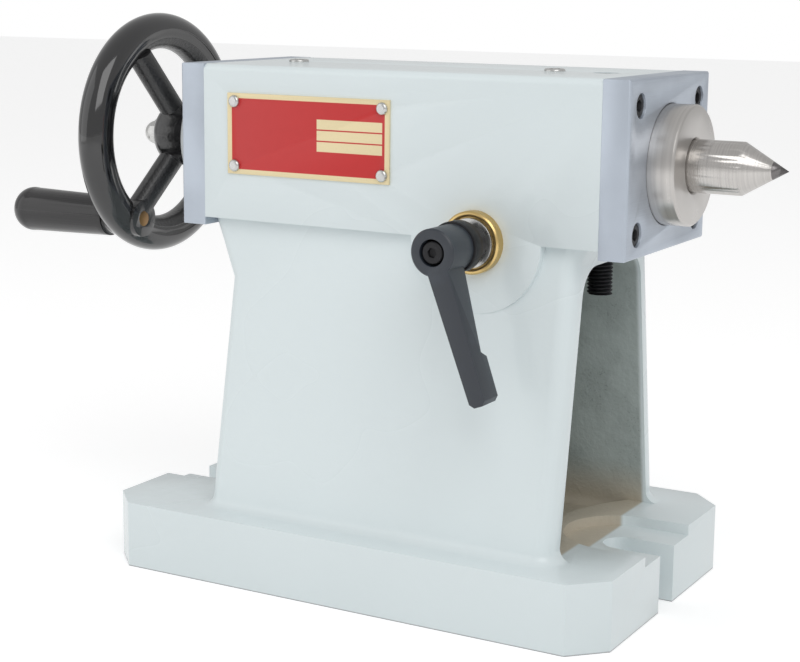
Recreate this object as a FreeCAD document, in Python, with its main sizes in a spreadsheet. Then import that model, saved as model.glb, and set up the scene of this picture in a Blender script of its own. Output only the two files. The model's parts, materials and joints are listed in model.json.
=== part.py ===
"""Lathe tailstock: a hollow pedestal casting that carries a quill with a dead centre, moved by a handwheel.

Millimetres. X runs along the spindle towards the point of the centre, +Z is up, and the origin is on the
underside of the base, straight below the spindle axis and midway between the ends of the base. The side of the
clamping lever and of the nameplate is -Y.
"""
import FreeCAD, Part
import math
import os
import Sketcher

Vector = FreeCAD.Vector
doc = FreeCAD.newDocument("Tailstock")

# ---------------------------------------------------------------------------------------------------------
# Driving dimensions. Each is a cell of the spreadsheet, and every feature below is bound to these cells.
# ---------------------------------------------------------------------------------------------------------
DIMENSIONS = {
    "centre_height": 210.0,        # spindle axis above the underside of the base
    "running_fit": 0.03,           # radial clearance of a sliding or turning fit
    "seat_fit": 0.02,              # radial clearance of a fixed fit
    "thread_fit": 0.05,            # radial clearance of a screw in its plain-drawn hole
    "pass_clearance": 0.3,         # gap between faces that move past each other
    # base
    "base_length": 270.0,
    "base_width": 164.0,
    "base_height": 33.0,
    "base_corner": 15.5,
    "slot_width": 18.0,
    "slot_centre": 112.0,          # centre of each hold-down slot's round end
    "recess_radius": 28.0,         # washer seat round each slot
    "recess_depth": 5.0,
    "keyway_depth": 8.0,           # locating keyways of the underside
    "keyway_end": 60.0,
    # pedestal
    "foot_width": 130.0,
    "head_width": 86.5,
    "pedestal_front": 103.0,
    "pedestal_rear": 82.6,
    "waist_rear": 80.5,
    "waist_height": 145.0,
    "wall": 12.0,
    "crown_height": 164.0,         # top of the hollow
    "floor_height": 27.0,
    "lip_crown": 72.5,             # the floor's front lip, at the middle
    "lip_wall": 91.0,              # the floor's front lip, at the walls
    "post_round": 8.0,
    "rear_round": 6.0,
    "crown_round": 15.0,
    "floor_round": 5.0,
    "lip_round": 3.0,
    "foot_fillet": 6.0,
    "overhang_round": 12.0,        # hollow curve under the housing's front overhang
    "overhang_drop": 11.0,
    # housing of the quill
    "housing_rear": 94.4,
    "housing_front": 115.5,
    "housing_width": 97.2,
    "housing_rise": 40.0,
    "housing_drop": 35.0,
    "housing_round": 3.5,
    # covers
    "cover_drop": 39.0,
    "front_cover_depth": 13.0,
    "rear_cover_depth": 13.6,
    "cover_screw_y": 36.1,
    "cover_screw_z": 28.2,
    "cover_edge": 0.8,
    "wiper_radius": 33.0,
    "wiper_depth": 6.0,
    # quill and centre
    "quill_radius": 27.5,
    "quill_length": 170.0,
    "quill_face": 141.0,
    "taper_radius": 11.9125,       # Morse taper 3 at the quill's face
    "taper_slope": 0.0251,         # radius lost per unit of length
    "taper_length": 81.0,
    "socket_length": 85.0,
    "socket_mouth": 1.2,
    "centre_radius": 12.05,
    "centre_start": 142.5,
    "centre_shoulder": 163.6,
    "cone_slope": 0.57735,         # sixty degree point
    "tip_radius": 4.0,
    "tip_depth": 8.0,
    "groove_width": 8.0,
    "groove_depth": 5.0,
    "groove_rear": 52.0,
    "groove_front": 114.0,
    "key_screw_x": 96.4,
    "key_screw_radius": 6.0,
    "key_screw_bottom": 147.5,
    # feed nut and feed screw
    "screw_radius": 10.0,
    "screw_thread_end": 40.0,
    "screw_nose": 47.5,
    "nose_radius": 8.0,
    "journal_radius": 8.5,
    "seat_radius": 8.0,
    "collar_radius": 16.0,
    "collar_width": 6.0,
    "washer_width": 2.0,
    "axial_gap": 0.05,
    "nut_radius": 18.0,
    "nut_length": 30.0,
    "nut_flange_radius": 27.0,
    "nut_flange": 9.0,
    "nut_screw_circle": 22.5,
    "bush_radius": 11.5,
    "bush_flange": 15.0,
    "bush_flange_width": 2.5,
    # bearing cap
    "cap_radius": 33.0,
    "cap_depth": 13.0,
    "cap_chamber": 17.0,
    "cap_screw_circle": 25.0,
    # handwheel
    "wheel_phase": 147.0,          # turn of the wheel at rest, in degrees
    "rim_radius": 53.1,
    "rim_x": 158.0,
    "rim_section": 8.4,
    "rim_stretch": 2.2,
    "rim_step": 0.5,
    "hub_radius": 16.5,
    "hub_nose": 11.0,
    "hub_start": 121.6,
    "hub_shoulder": 146.5,
    "hub_end": 153.5,
    "spoke_radius": 6.5,
    "spoke_count": 3.0,
    "spoke_root": 9.0,
    "spoke_root_x": 143.0,
    "spoke_tip": 47.0,
    "spoke_tip_x": 155.0,
    "key_width": 5.0,
    "key_length": 20.0,
    "key_start": 126.0,
    "stud_radius": 4.0,
    "stud_end": 160.5,
    "wheel_washer_radius": 8.5,
    "wheel_washer_width": 1.6,
    "wheel_nut_width": 13.0,
    "wheel_nut_height": 5.0,
    "wheel_nut_dome": 6.2,
    # revolving handle
    "handle_circle": 50.5,
    "handle_boss": 9.5,
    "handle_boss_rear": 148.5,
    "handle_boss_front": 167.5,
    "grip_start": 168.0,
    "grip_end": 230.0,
    "grip_root_radius": 10.4,
    "grip_radius": 11.5,
    "grip_dome": 10.0,
    "bolt_shank": 4.0,
    "bolt_shoulder": 5.0,
    "bolt_head": 6.5,
    "bolt_head_height": 4.5,
    # clamp across the quill
    "clamp_x": 55.0,
    "clamp_drop": 35.5,
    "sleeve_radius": 14.5,
    "sleeve_gap": 3.0,
    "sleeve_proud": 5.4,
    "sleeve_sunk": 1.0,
    "sleeve_rim": 1.7,
    "dish_depth": 1.5,
    "boss_radius": 33.0,
    "tunnel_wall": 8.0,
    "clamp_rod_radius": 5.0,
    "clamp_rod_end": 44.0,
    "clamp_washer_radius": 11.4,
    "clamp_washer_width": 2.0,
    "insert_neck": 9.0,
    "insert_neck_length": 8.4,
    "insert_flange": 11.7,
    "insert_flange_width": 7.0,
    "spline_root": 6.4,
    "spline_tooth": 0.7,
    "spline_count": 12.0,
    "spline_length": 4.6,
    "pilot_radius": 3.6,
    # clamping lever
    "lever_phase": -20.0,          # turn of the lever at rest, in degrees
    "lever_lift": 5.0,
    "lever_hub_radius": 10.7,
    "lever_hub_length": 19.2,
    "lever_web": 2.7,
    "lever_well": 6.1,
    "arm_length": 70.0,
    "arm_root_width": 10.5,
    "arm_tip_width": 8.0,
    "arm_root_depth": 15.0,
    "arm_tip_depth": 9.0,
    "thumb_length": 21.0,
    "thumb_depth": 13.0,
    "lever_screw_radius": 2.5,
    "lever_screw_head": 5.1,
    "lever_screw_head_height": 2.7,
    "spring_wire": 0.45,
    "spring_radius": 4.3,
    "spring_turns": 3.0,
    # plate, oilers, plug
    "plate_rear": -80.0,
    "plate_front": 10.5,
    "plate_low": 197.5,
    "plate_high": 236.5,
    "plate_thickness": 0.8,
    "rivet_inset": 4.0,
    "rivet_head": 3.0,
    "rivet_rise": 1.6,
    "rivet_shank": 1.5,
    "rivet_length": 5.0,
    "oiler_x": 70.5,
    "oiler_radius": 4.0,
    "oiler_flange": 5.0,
    "oiler_rise": 1.2,
    "oiler_length": 7.0,
    "oiler_hole": 1.5,
    "ball_radius": 2.5,
    "plug_length": 10.0,
    # socket head screws
    "m6_radius": 3.0,
    "m6_head": 5.0,
    "m6_head_height": 6.0,
    "m6_length": 20.0,
    "m6_socket": 5.0,
    "m6_counterbore": 5.6,
    "m6_sink": 7.0,
    "m5_radius": 2.5,
    "m5_head": 4.25,
    "m5_head_height": 5.0,
    "m5_length": 12.0,
    "m5_socket": 4.0,
    "m5_counterbore": 4.6,
    "m5_sink": 5.4,
    "socket_depth": 3.0,
}
HEX_CORNER = 1 / math.sqrt(3)      # corner radius of a hexagon as a share of its width across flats


class Size:
    """A length with the spreadsheet expression that gives it."""

    def __init__(self, number, text):
        self.number = number
        self.text = text

    def __add__(self, other):
        other = size(other)
        return Size(self.number + other.number, f"({self.text} + {other.text})")

    def __sub__(self, other):
        other = size(other)
        return Size(self.number - other.number, f"({self.text} - {other.text})")

    def __mul__(self, other):
        other = size(other)
        return Size(self.number * other.number, f"({self.text} * {other.text})")

    def __truediv__(self, other):
        other = size(other)
        return Size(self.number / other.number, f"({self.text} / {other.text})")

    def __radd__(self, other):
        return size(other) + self

    def __rsub__(self, other):
        return size(other) - self

    def __rmul__(self, other):
        return size(other) * self

    def __neg__(self):
        return Size(-self.number, f"(0 - {self.text})")


def size(value):
    """A plain number as a Size."""
    return value if isinstance(value, Size) else Size(float(value), repr(float(value)))


def root(value):
    """The square root of a Size."""
    return Size(math.sqrt(value.number), f"sqrt({value.text})")


def write_sizes():
    """Fills the spreadsheet and returns each of its cells as a Size."""
    sheet = doc.addObject("Spreadsheet::Sheet", "Sizes")
    cells = {}
    for row, (name, value) in enumerate(DIMENSIONS.items(), start=1):
        sheet.set(f"A{row}", name)
        sheet.set(f"B{row}", str(value))
        sheet.setAlias(f"B{row}", name)
        cells[name] = Size(value, f"Sizes.{name}")
    doc.recompute()
    return cells


class Cells:
    """The cells of the spreadsheet, by name."""

    def __init__(self, cells):
        self.__dict__.update(cells)


D = Cells(write_sizes())

# Places that several pieces share
AXIS = D.centre_height
HOUSING_TOP = AXIS + D.housing_rise
HOUSING_FLOOR = AXIS - D.housing_drop
NEAR_FACE = D.housing_width / 2
FRONT_FACE = D.housing_front + D.front_cover_depth
REAR_FACE = D.housing_rear + D.rear_cover_depth
CLAMP_Z = AXIS - D.clamp_drop
BORE_RADIUS = D.quill_radius + D.running_fit
SLOT_RADIUS = D.slot_width / 2
QUILL_REAR = D.quill_face - D.quill_length
CAP_FACE = REAR_FACE + D.cap_depth
COLLAR_START = REAR_FACE + D.washer_width + D.axial_gap
COLLAR_END = COLLAR_START + D.collar_width
DISH_FLOOR = NEAR_FACE + D.sleeve_proud - D.dish_depth
INSERT_FACE = DISH_FLOOR + D.clamp_washer_width
FLANGE_START = INSERT_FACE + D.insert_neck_length
FLANGE_END = FLANGE_START + D.insert_flange_width
SPLINE_END = FLANGE_END + D.spline_length
LEVER_FOOT = FLANGE_END + D.pass_clearance
PILOT_END = LEVER_FOOT + D.spline_length + D.lever_web - D.pass_clearance
LEVER_FACE = LEVER_FOOT + D.lever_hub_length
COVER_SCREWS = [(y * D.cover_screw_y, z * D.cover_screw_z) for y in (-1, 1) for z in (-1, 1)]
PLATE_RIVETS = [
    (D.plate_rear + D.rivet_inset, D.plate_low + D.rivet_inset),
    (D.plate_front - D.rivet_inset, D.plate_low + D.rivet_inset),
    (D.plate_rear + D.rivet_inset, D.plate_high - D.rivet_inset),
    (D.plate_front - D.rivet_inset, D.plate_high - D.rivet_inset),
]


# ---------------------------------------------------------------------------------------------------------
# Sketching and feature helpers
# ---------------------------------------------------------------------------------------------------------
def bind(thing, name, value):
    """Ties a property of an object to a Size."""
    value = size(value)
    thing.setExpression(name, value.text)


def new_body(label, base=(0, 0, 0), turn_axis=None, turn=None):
    """A body at a place, turned about an axis by an angle in degrees."""
    body = doc.addObject("PartDesign::Body", label)
    body.Label = label
    body.AllowCompound = True
    if turn_axis is not None:
        turn = size(turn)
        body.Placement = FreeCAD.Placement(Vector(0, 0, 0), FreeCAD.Rotation(Vector(*turn_axis), turn.number))
        bind(body, "Placement.Rotation.Angle", turn)
    for axis, value in zip("xyz", base):
        bind(body, f"Placement.Base.{axis}", value)
    return body


def origin_part(body, role):
    """A plane or an axis of the body's own origin."""
    return next(feature for feature in body.Origin.OriginFeatures if feature.Role == role)


def new_sketch(body, plane, height=0, up=0):
    """A sketch on an origin plane, raised along the plane's normal and shifted along the sketch's own Y."""
    sketch = body.newObject("Sketcher::SketchObject", f"{body.Label}_sketch")
    sketch.AttachmentSupport = [(origin_part(body, plane), "")]
    sketch.MapMode = "FlatFace"
    bind(sketch, "AttachmentOffset.Base.z", height)
    bind(sketch, "AttachmentOffset.Base.y", up)
    return sketch


def hold(sketch, kind, value, *places):
    """Adds a dimension to a sketch and ties it to a Size."""
    value = size(value)
    index = sketch.addConstraint(Sketcher.Constraint(kind, *places, value.number))
    name = f"size_{index}"
    sketch.renameConstraint(index, name)
    sketch.setExpression(f"Constraints.{name}", value.text)


def arc_between(start, end, radius, turn):
    """The arc of a radius that leads from start to end, turning left or right."""
    middle = (start + end) * 0.5
    half = (end - start).Length / 2
    reach = math.sqrt(max(radius * radius - half * half, 0.0))
    along = (end - start).normalize()
    side = Vector(-along.y, along.x, 0)
    centre = middle + side * reach if turn == "left" else middle - side * reach
    first, last = (start, end) if turn == "left" else (end, start)
    begin = math.atan2(first.y - centre.y, first.x - centre.x)
    finish = math.atan2(last.y - centre.y, last.x - centre.x)
    if finish <= begin:
        finish += 2 * math.pi
    return Part.ArcOfCircle(Part.Circle(centre, Vector(0, 0, 1), radius), begin, finish)


def hold_arc(sketch, index, corner, following):
    """Holds an arc by its radius, or a half circle, whose ends already give the radius, by its centre."""
    x, y, radius = (size(value) for value in corner[:3])
    end_x, end_y = (size(value) for value in following[:2])
    chord = math.hypot(end_x.number - x.number, end_y.number - y.number)
    if chord < 1.999 * radius.number:
        hold(sketch, "Radius", radius, index)
    elif abs(end_y.number - y.number) > abs(end_x.number - x.number):
        hold(sketch, "DistanceX", (x + end_x) / 2, -1, 1, index, 3)
    else:
        hold(sketch, "DistanceY", (y + end_y) / 2, -1, 1, index, 3)


def outline(sketch, corners):
    """A closed loop. A corner is (x, y), or (x, y, radius, turn) where an arc leads on to the next corner."""
    first = sketch.GeometryCount
    count = len(corners)
    points = [Vector(size(c[0]).number, size(c[1]).number, 0) for c in corners]
    heads = []
    tails = []
    for i, corner in enumerate(corners):
        start = points[i]
        end = points[(i + 1) % count]
        if len(corner) == 4:
            radius = size(corner[2])
            sketch.addGeometry(arc_between(start, end, radius.number, corner[3]), False)
            heads.append(1 if corner[3] == "left" else 2)
            tails.append(2 if corner[3] == "left" else 1)
        else:
            sketch.addGeometry(Part.LineSegment(start, end), False)
            heads.append(1)
            tails.append(2)
    for i, corner in enumerate(corners):
        following = (i + 1) % count
        joint = Sketcher.Constraint("Coincident", first + i, tails[i], first + following, heads[following])
        sketch.addConstraint(joint)
        hold(sketch, "DistanceX", corner[0], -1, 1, first + i, heads[i])
        hold(sketch, "DistanceY", corner[1], -1, 1, first + i, heads[i])
        if len(corner) == 4:
            hold_arc(sketch, first + i, corner, corners[following])


def box_outline(sketch, low_x, high_x, low_y, high_y):
    """A rectangle."""
    outline(sketch, [(low_x, low_y), (high_x, low_y), (high_x, high_y), (low_x, high_y)])


def circle(sketch, x, y, radius):
    """A circle."""
    x, y, radius = size(x), size(y), size(radius)
    index = sketch.addGeometry(Part.Circle(Vector(x.number, y.number, 0), Vector(0, 0, 1), radius.number), False)
    hold(sketch, "DistanceX", x, -1, 1, index, 3)
    hold(sketch, "DistanceY", y, -1, 1, index, 3)
    hold(sketch, "Radius", radius, index)


def hexagon(sketch, x, y, width):
    """A hexagon by its width across flats, with flats at both sides."""
    side = width * (HEX_CORNER / 2)
    corner = width * HEX_CORNER
    half = width / 2
    steps = [(half, -side), (half, side), (0, corner), (-half, side), (-half, -side), (0, -corner)]
    outline(sketch, [(x + a, y + b) for a, b in steps])


def slot_outline(sketch, inner, outer, radius):
    """A slot along X whose round inner end is centred on inner; its outer end is square."""
    if size(outer).number > size(inner).number:
        outline(sketch, [(inner, radius, radius, "left"), (inner, -radius), (outer, -radius), (outer, radius)])
    else:
        outline(sketch, [(inner, -radius, radius, "left"), (inner, radius), (outer, radius), (outer, -radius)])


def add(body, kind, sketch):
    """A feature of the body made from a sketch."""
    feature = body.newObject(f"PartDesign::{kind}", f"{body.Label}_{kind}")
    feature.Profile = sketch
    sketch.Visibility = False
    return feature


def volume(body):
    """The volume of the body as it stands."""
    doc.recompute()
    return body.Shape.Volume if body.Tip else 0.0


def pad(body, sketch, length, reverse=False, middle=False):
    """Adds material along the sketch's normal."""
    feature = add(body, "Pad", sketch)
    feature.Reversed = reverse
    feature.SideType = "Symmetric" if middle else "One side"
    bind(feature, "Length", length)
    return feature


def pocket(body, sketch, depth, reverse=False, middle=False):
    """Removes material against the sketch's normal, or along it when reversed."""
    before = volume(body)
    feature = add(body, "Pocket", sketch)
    feature.Reversed = reverse
    feature.SideType = "Symmetric" if middle else "One side"
    bind(feature, "Length", depth)
    if volume(body) >= before:
        raise RuntimeError(f"{feature.Name} removes nothing")
    return feature


def revolve(body, sketch, axis="H_Axis"):
    """Turns a profile about one of the sketch's own axes."""
    feature = add(body, "Revolution", sketch)
    feature.ReferenceAxis = (sketch, [axis])
    return feature


def groove(body, sketch, axis="H_Axis"):
    """Cuts away a turned profile."""
    before = volume(body)
    feature = add(body, "Groove", sketch)
    feature.ReferenceAxis = (sketch, [axis])
    if volume(body) >= before:
        raise RuntimeError(f"{feature.Name} removes nothing")
    return feature


def polar(body, feature, role, count):
    """Repeats a feature round an origin axis."""
    pattern = body.newObject("PartDesign::PolarPattern", f"{body.Label}_pattern")
    pattern.Originals = [feature]
    pattern.Axis = (origin_part(body, role), [""])
    pattern.Angle = 360
    pattern.Occurrences = int(size(count).number)
    bind(pattern, "Occurrences", count)
    body.Tip = pattern
    return pattern


def matches(edge, wanted):
    """Whether an edge's ends and middle lie within the wanted bounds of each coordinate."""
    first, last = edge.ParameterRange
    points = [edge.valueAt(first + (last - first) * share) for share in (0.0, 0.5, 1.0)]
    for axis, bounds in wanted.items():
        low, high = (size(bound).number for bound in bounds)
        for point in points:
            if not low - 0.01 <= getattr(point, axis) <= high + 0.01:
                return False
    return True


def dress(body, kind, amount, *places):
    """Fillets or chamfers the edges that lie in one of the given places."""
    doc.recompute()
    base = body.Tip
    names = []
    for index, edge in enumerate(base.Shape.Edges, start=1):
        if any(matches(edge, place) for place in places):
            names.append(f"Edge{index}")
    if not names:
        raise RuntimeError(f"{body.Label} has no edge there to {kind.lower()}")
    feature = body.newObject(f"PartDesign::{kind}", f"{body.Label}_{kind}")
    feature.Base = (base, names)
    bind(feature, "Radius" if kind == "Fillet" else "Size", amount)
    doc.recompute()
    if feature.Shape.isNull() or not feature.Shape.isValid():
        raise RuntimeError(f"{feature.Name} failed on {names}")
    return feature


def at(value):
    """Bounds that hold a coordinate to one value."""
    return (value, value)


# ---------------------------------------------------------------------------------------------------------
# The casting
# ---------------------------------------------------------------------------------------------------------
def half_width(height):
    """Half the pedestal's outer width at a height."""
    share = (height - D.base_height) / (HOUSING_FLOOR - D.base_height)
    return D.foot_width / 2 - (D.foot_width - D.head_width) / 2 * share


def pedestal(body):
    """The tapering pedestal, its rear end leaning back and its front end curving out under the housing."""
    sketch = new_sketch(body, "YZ_Plane", -D.housing_rear)
    foot = D.foot_width / 2
    head = D.head_width / 2
    outline(sketch, [(-foot, D.base_height), (foot, D.base_height), (head, HOUSING_FLOOR), (-head, HOUSING_FLOOR)])
    pad(body, sketch, D.housing_rear + D.housing_front)
    rear = new_sketch(body, "XZ_Plane")
    beyond = -D.housing_rear - D.wall
    outline(rear, [
        (beyond, D.base_height - 1),
        (-D.pedestal_rear, D.base_height - 1),
        (-D.waist_rear, D.waist_height),
        (-D.housing_rear, HOUSING_FLOOR),
        (beyond, HOUSING_FLOOR),
    ])
    pocket(body, rear, D.foot_width + 2 * D.wall, middle=True)
    curve_start = HOUSING_FLOOR - D.overhang_drop
    radius = D.overhang_round
    curve_end = D.pedestal_front + radius - root(radius * radius - D.overhang_drop * D.overhang_drop)
    past = D.housing_front + D.wall
    nose = new_sketch(body, "XZ_Plane")
    outline(nose, [
        (D.pedestal_front, D.base_height - 1),
        (past, D.base_height - 1),
        (past, HOUSING_FLOOR),
        (curve_end, HOUSING_FLOOR, radius, "left"),
        (D.pedestal_front, curve_start),
    ])
    pocket(body, nose, D.foot_width + 2 * D.wall, middle=True)
    far_side = (D.head_width / 2, D.foot_width / 2)
    near_side = (-far_side[1], -far_side[0])
    front = dict(x=(D.pedestal_front, curve_end))
    dress(body, "Fillet", D.post_round, dict(front, y=near_side), dict(front, y=far_side))
    back = dict(x=(-D.housing_rear, -D.waist_rear))
    dress(body, "Fillet", D.rear_round, dict(back, y=near_side), dict(back, y=far_side))


def base(body):
    """The base slab with its cut corners."""
    sketch = new_sketch(body, "XY_Plane")
    x = D.base_length / 2
    y = D.base_width / 2
    cut = D.base_corner
    outline(sketch, [
        (x, -y + cut), (x, y - cut), (x - cut, y), (-x + cut, y),
        (-x, y - cut), (-x, -y + cut), (-x + cut, -y), (x - cut, -y),
    ])
    pad(body, sketch, D.base_height)


def housing(body):
    """The square housing of the quill and the round boss of the clamp, which fades into the pedestal."""
    sketch = new_sketch(body, "YZ_Plane", -D.housing_rear)
    box_outline(sketch, -NEAR_FACE, NEAR_FACE, HOUSING_FLOOR, HOUSING_TOP)
    pad(body, sketch, D.housing_rear + D.housing_front)
    boss = new_sketch(body, "XZ_Plane")
    circle(boss, D.clamp_x, CLAMP_Z, D.boss_radius)
    pad(body, boss, D.housing_width, middle=True)


def hollow(body):
    """The hollow under the housing, open at the front, with a sunk floor behind a curved lip."""
    mouth = D.pedestal_front + D.foot_fillet + 1
    sketch = new_sketch(body, "YZ_Plane", mouth)
    low = half_width(D.floor_height) - D.wall
    high = half_width(D.crown_height) - D.wall
    outline(sketch, [(-low, D.floor_height), (low, D.floor_height), (high, D.crown_height), (-high, D.crown_height)])
    pocket(body, sketch, mouth + D.pedestal_rear - D.wall)
    inner_rear = D.wall - D.pedestal_rear
    inside = (inner_rear, mouth)
    crown = dict(x=inside, z=at(D.crown_height))
    dress(body, "Fillet", D.crown_round, dict(crown, y=at(high)), dict(crown, y=at(-high)))
    floor = dict(x=inside, z=at(D.floor_height))
    dress(body, "Fillet", D.floor_round, dict(floor, y=at(low)), dict(floor, y=at(-low)))
    land = new_sketch(body, "XY_Plane", D.floor_height)
    rise = D.lip_wall - D.lip_crown
    lip_radius = (low * low + rise * rise) / (2 * rise)
    outline(land, [(D.lip_wall, -low, lip_radius, "right"), (D.lip_wall, low), (mouth, low), (mouth, -low)])
    pad(body, land, D.base_height - D.floor_height)
    dress(body, "Fillet", D.lip_round, dict(x=(D.lip_crown, D.lip_wall + 1), y=(-low, low), z=at(D.base_height)))


def bores(body):
    """The quill's bore, the clamp's cross bore with its tunnel wall, and the key screw's hole."""
    tunnel = new_sketch(body, "XZ_Plane")
    circle(tunnel, D.clamp_x, CLAMP_Z, D.sleeve_radius + D.tunnel_wall)
    pad(body, tunnel, D.head_width, middle=True)
    quill = new_sketch(body, "YZ_Plane", D.housing_front + 1)
    circle(quill, 0, AXIS, BORE_RADIUS)
    pocket(body, quill, D.housing_front + D.housing_rear + 2)
    cross = new_sketch(body, "XZ_Plane")
    circle(cross, D.clamp_x, CLAMP_Z, D.sleeve_radius + D.running_fit)
    pocket(body, cross, D.housing_width + 2, middle=True)
    key = new_sketch(body, "XY_Plane", D.crown_height - 1)
    circle(key, D.key_screw_x, 0, D.key_screw_radius + D.thread_fit)
    pocket(body, key, HOUSING_TOP - D.crown_height + 2, reverse=True)


def slots(body):
    """Hold-down slots with their washer seats, and the locating keyways below."""
    reach = D.base_length / 2 + 1
    for side in (1, -1):
        seat = new_sketch(body, "XY_Plane", D.base_height)
        slot_outline(seat, side * D.slot_centre, side * reach, D.recess_radius)
        pocket(body, seat, D.recess_depth)
        slot = new_sketch(body, "XY_Plane", D.base_height)
        slot_outline(slot, side * D.slot_centre, side * reach, SLOT_RADIUS)
        pocket(body, slot, D.base_height)
        keyway = new_sketch(body, "XY_Plane")
        ends = sorted((side * D.keyway_end, side * D.slot_centre), key=lambda end: end.number)
        box_outline(keyway, ends[0], ends[1], -SLOT_RADIUS, SLOT_RADIUS)
        pocket(body, keyway, D.keyway_depth, reverse=True)


def tapped_holes(body):
    """The cover screws' holes in both ends, the oilers' seats and oil ways, and the rivets' holes."""
    depth = D.m6_length + D.m6_sink
    for face, cover, reverse in ((D.housing_front, D.front_cover_depth, False), (-D.housing_rear, D.rear_cover_depth, True)):
        ends = new_sketch(body, "YZ_Plane", face)
        for y, z in COVER_SCREWS:
            circle(ends, y, AXIS + z, D.m6_radius + D.thread_fit)
        pocket(body, ends, depth - cover + 2, reverse=reverse)
    oilers = new_sketch(body, "XY_Plane", HOUSING_TOP)
    oilways = new_sketch(body, "XY_Plane", HOUSING_TOP)
    for side in (1, -1):
        circle(oilers, side * D.oiler_x, 0, D.oiler_radius + D.seat_fit)
        circle(oilways, side * D.oiler_x, 0, D.oiler_hole)
    pocket(body, oilers, D.oiler_length + 0.5)
    pocket(body, oilways, D.housing_rise)
    rivets = new_sketch(body, "XZ_Plane", NEAR_FACE)
    for x, z in PLATE_RIVETS:
        circle(rivets, x, z, D.rivet_shank + D.seat_fit)
    pocket(body, rivets, D.rivet_length + 1)


def make_body_casting():
    """One iron casting: base, hollow pedestal and quill housing."""
    body = new_body("body_casting")
    pedestal(body)
    base(body)
    outside = (-D.pedestal_rear - 1, D.pedestal_front)
    dress(body, "Fillet", D.foot_fillet, dict(x=outside, y=(-D.foot_width / 2, D.foot_width / 2), z=at(D.base_height)))
    housing(body)
    top = dict(x=(-D.housing_rear, D.housing_front), z=at(HOUSING_TOP))
    dress(body, "Fillet", D.housing_round, dict(top, y=at(NEAR_FACE)), dict(top, y=at(-NEAR_FACE)))
    hollow(body)
    bores(body)
    slots(body)
    tapped_holes(body)
    return body


# ---------------------------------------------------------------------------------------------------------
# Fasteners that come in groups
# ---------------------------------------------------------------------------------------------------------
def socket_screws(label, places, name, base, turn=0):
    """Socket head screws whose heads face +X at the group's own YZ plane."""
    radius = getattr(D, f"{name}_radius")
    head = getattr(D, f"{name}_head")
    head_height = getattr(D, f"{name}_head_height")
    length = getattr(D, f"{name}_length")
    socket = getattr(D, f"{name}_socket")
    body = new_body(label, base, (0, 0, 1), turn)
    heads = new_sketch(body, "YZ_Plane")
    for y, z in places:
        circle(heads, y, z, head)
    pad(body, heads, head_height, reverse=True)
    shanks = new_sketch(body, "YZ_Plane", -head_height)
    for y, z in places:
        circle(shanks, y, z, radius)
    pad(body, shanks, length, reverse=True)
    sockets = new_sketch(body, "YZ_Plane")
    for y, z in places:
        hexagon(sockets, y, z, socket)
    pocket(body, sockets, D.socket_depth)
    return body


def ring_places(radius, count, start):
    """Places evenly spread on a circle, from a start angle in degrees."""
    places = []
    for i in range(count):
        angle = math.radians(start + 360 * i / count)
        places.append((radius * math.cos(angle), radius * math.sin(angle)))
    return places


NUT_SCREWS = ring_places(D.nut_screw_circle, 3, 90)
CAP_SCREWS = ring_places(D.cap_screw_circle, 4, 45)


# ---------------------------------------------------------------------------------------------------------
# Covers
# ---------------------------------------------------------------------------------------------------------
def make_front_cover():
    """The ground front plate, with the quill's clearance hole and the wiper's seat behind."""
    body = new_body("front_cover", (D.housing_front, 0, AXIS))
    plate = new_sketch(body, "YZ_Plane")
    box_outline(plate, -NEAR_FACE, NEAR_FACE, -D.cover_drop, D.housing_rise)
    pad(body, plate, D.front_cover_depth)
    face = dict(x=at(D.front_cover_depth))
    dress(body, "Chamfer", D.cover_edge, face)
    hole = new_sketch(body, "YZ_Plane", D.front_cover_depth)
    circle(hole, 0, 0, D.quill_radius + D.pass_clearance)
    pocket(body, hole, D.front_cover_depth)
    seat = new_sketch(body, "YZ_Plane")
    circle(seat, 0, 0, D.wiper_radius)
    pocket(body, seat, D.wiper_depth, reverse=True)
    screw_holes(body, D.front_cover_depth, COVER_SCREWS, "m6")
    return body


def screw_holes(body, face, places, name):
    """Counterbored screw holes through a plate whose outer face looks along +X."""
    heads = new_sketch(body, "YZ_Plane", face)
    shanks = new_sketch(body, "YZ_Plane", face)
    for y, z in places:
        circle(heads, y, z, getattr(D, f"{name}_counterbore"))
        circle(shanks, y, z, getattr(D, f"{name}_radius") + D.pass_clearance)
    pocket(body, heads, getattr(D, f"{name}_sink") )
    pocket(body, shanks, face)


def make_quill_wiper():
    """The felt ring behind the front cover that wipes the quill."""
    body = new_body("quill_wiper", (D.housing_front, 0, AXIS))
    ring = new_sketch(body, "YZ_Plane")
    circle(ring, 0, 0, D.wiper_radius - D.seat_fit)
    circle(ring, 0, 0, D.quill_radius + 2 * D.running_fit)
    pad(body, ring, D.wiper_depth - 2 * D.axial_gap)
    return body


def make_rear_cover():
    """The rear plate, which carries the feed screw's bush and the bearing cap."""
    body = new_body("rear_cover", (-D.housing_rear, 0, AXIS), (0, 0, 1), 180)
    plate = new_sketch(body, "YZ_Plane")
    box_outline(plate, -NEAR_FACE, NEAR_FACE, -D.cover_drop, D.housing_rise)
    pad(body, plate, D.rear_cover_depth)
    dress(body, "Chamfer", D.cover_edge, dict(x=at(D.rear_cover_depth)))
    hole = new_sketch(body, "YZ_Plane", D.rear_cover_depth)
    circle(hole, 0, 0, D.bush_radius + D.seat_fit)
    pocket(body, hole, D.rear_cover_depth)
    screw_holes(body, D.rear_cover_depth, COVER_SCREWS, "m6")
    taps = new_sketch(body, "YZ_Plane", D.rear_cover_depth)
    for y, z in CAP_SCREWS:
        circle(taps, y, z, D.m5_radius + D.thread_fit)
    pocket(body, taps, D.m5_length - (D.cap_depth - D.m5_sink) + 2)
    return body


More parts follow.
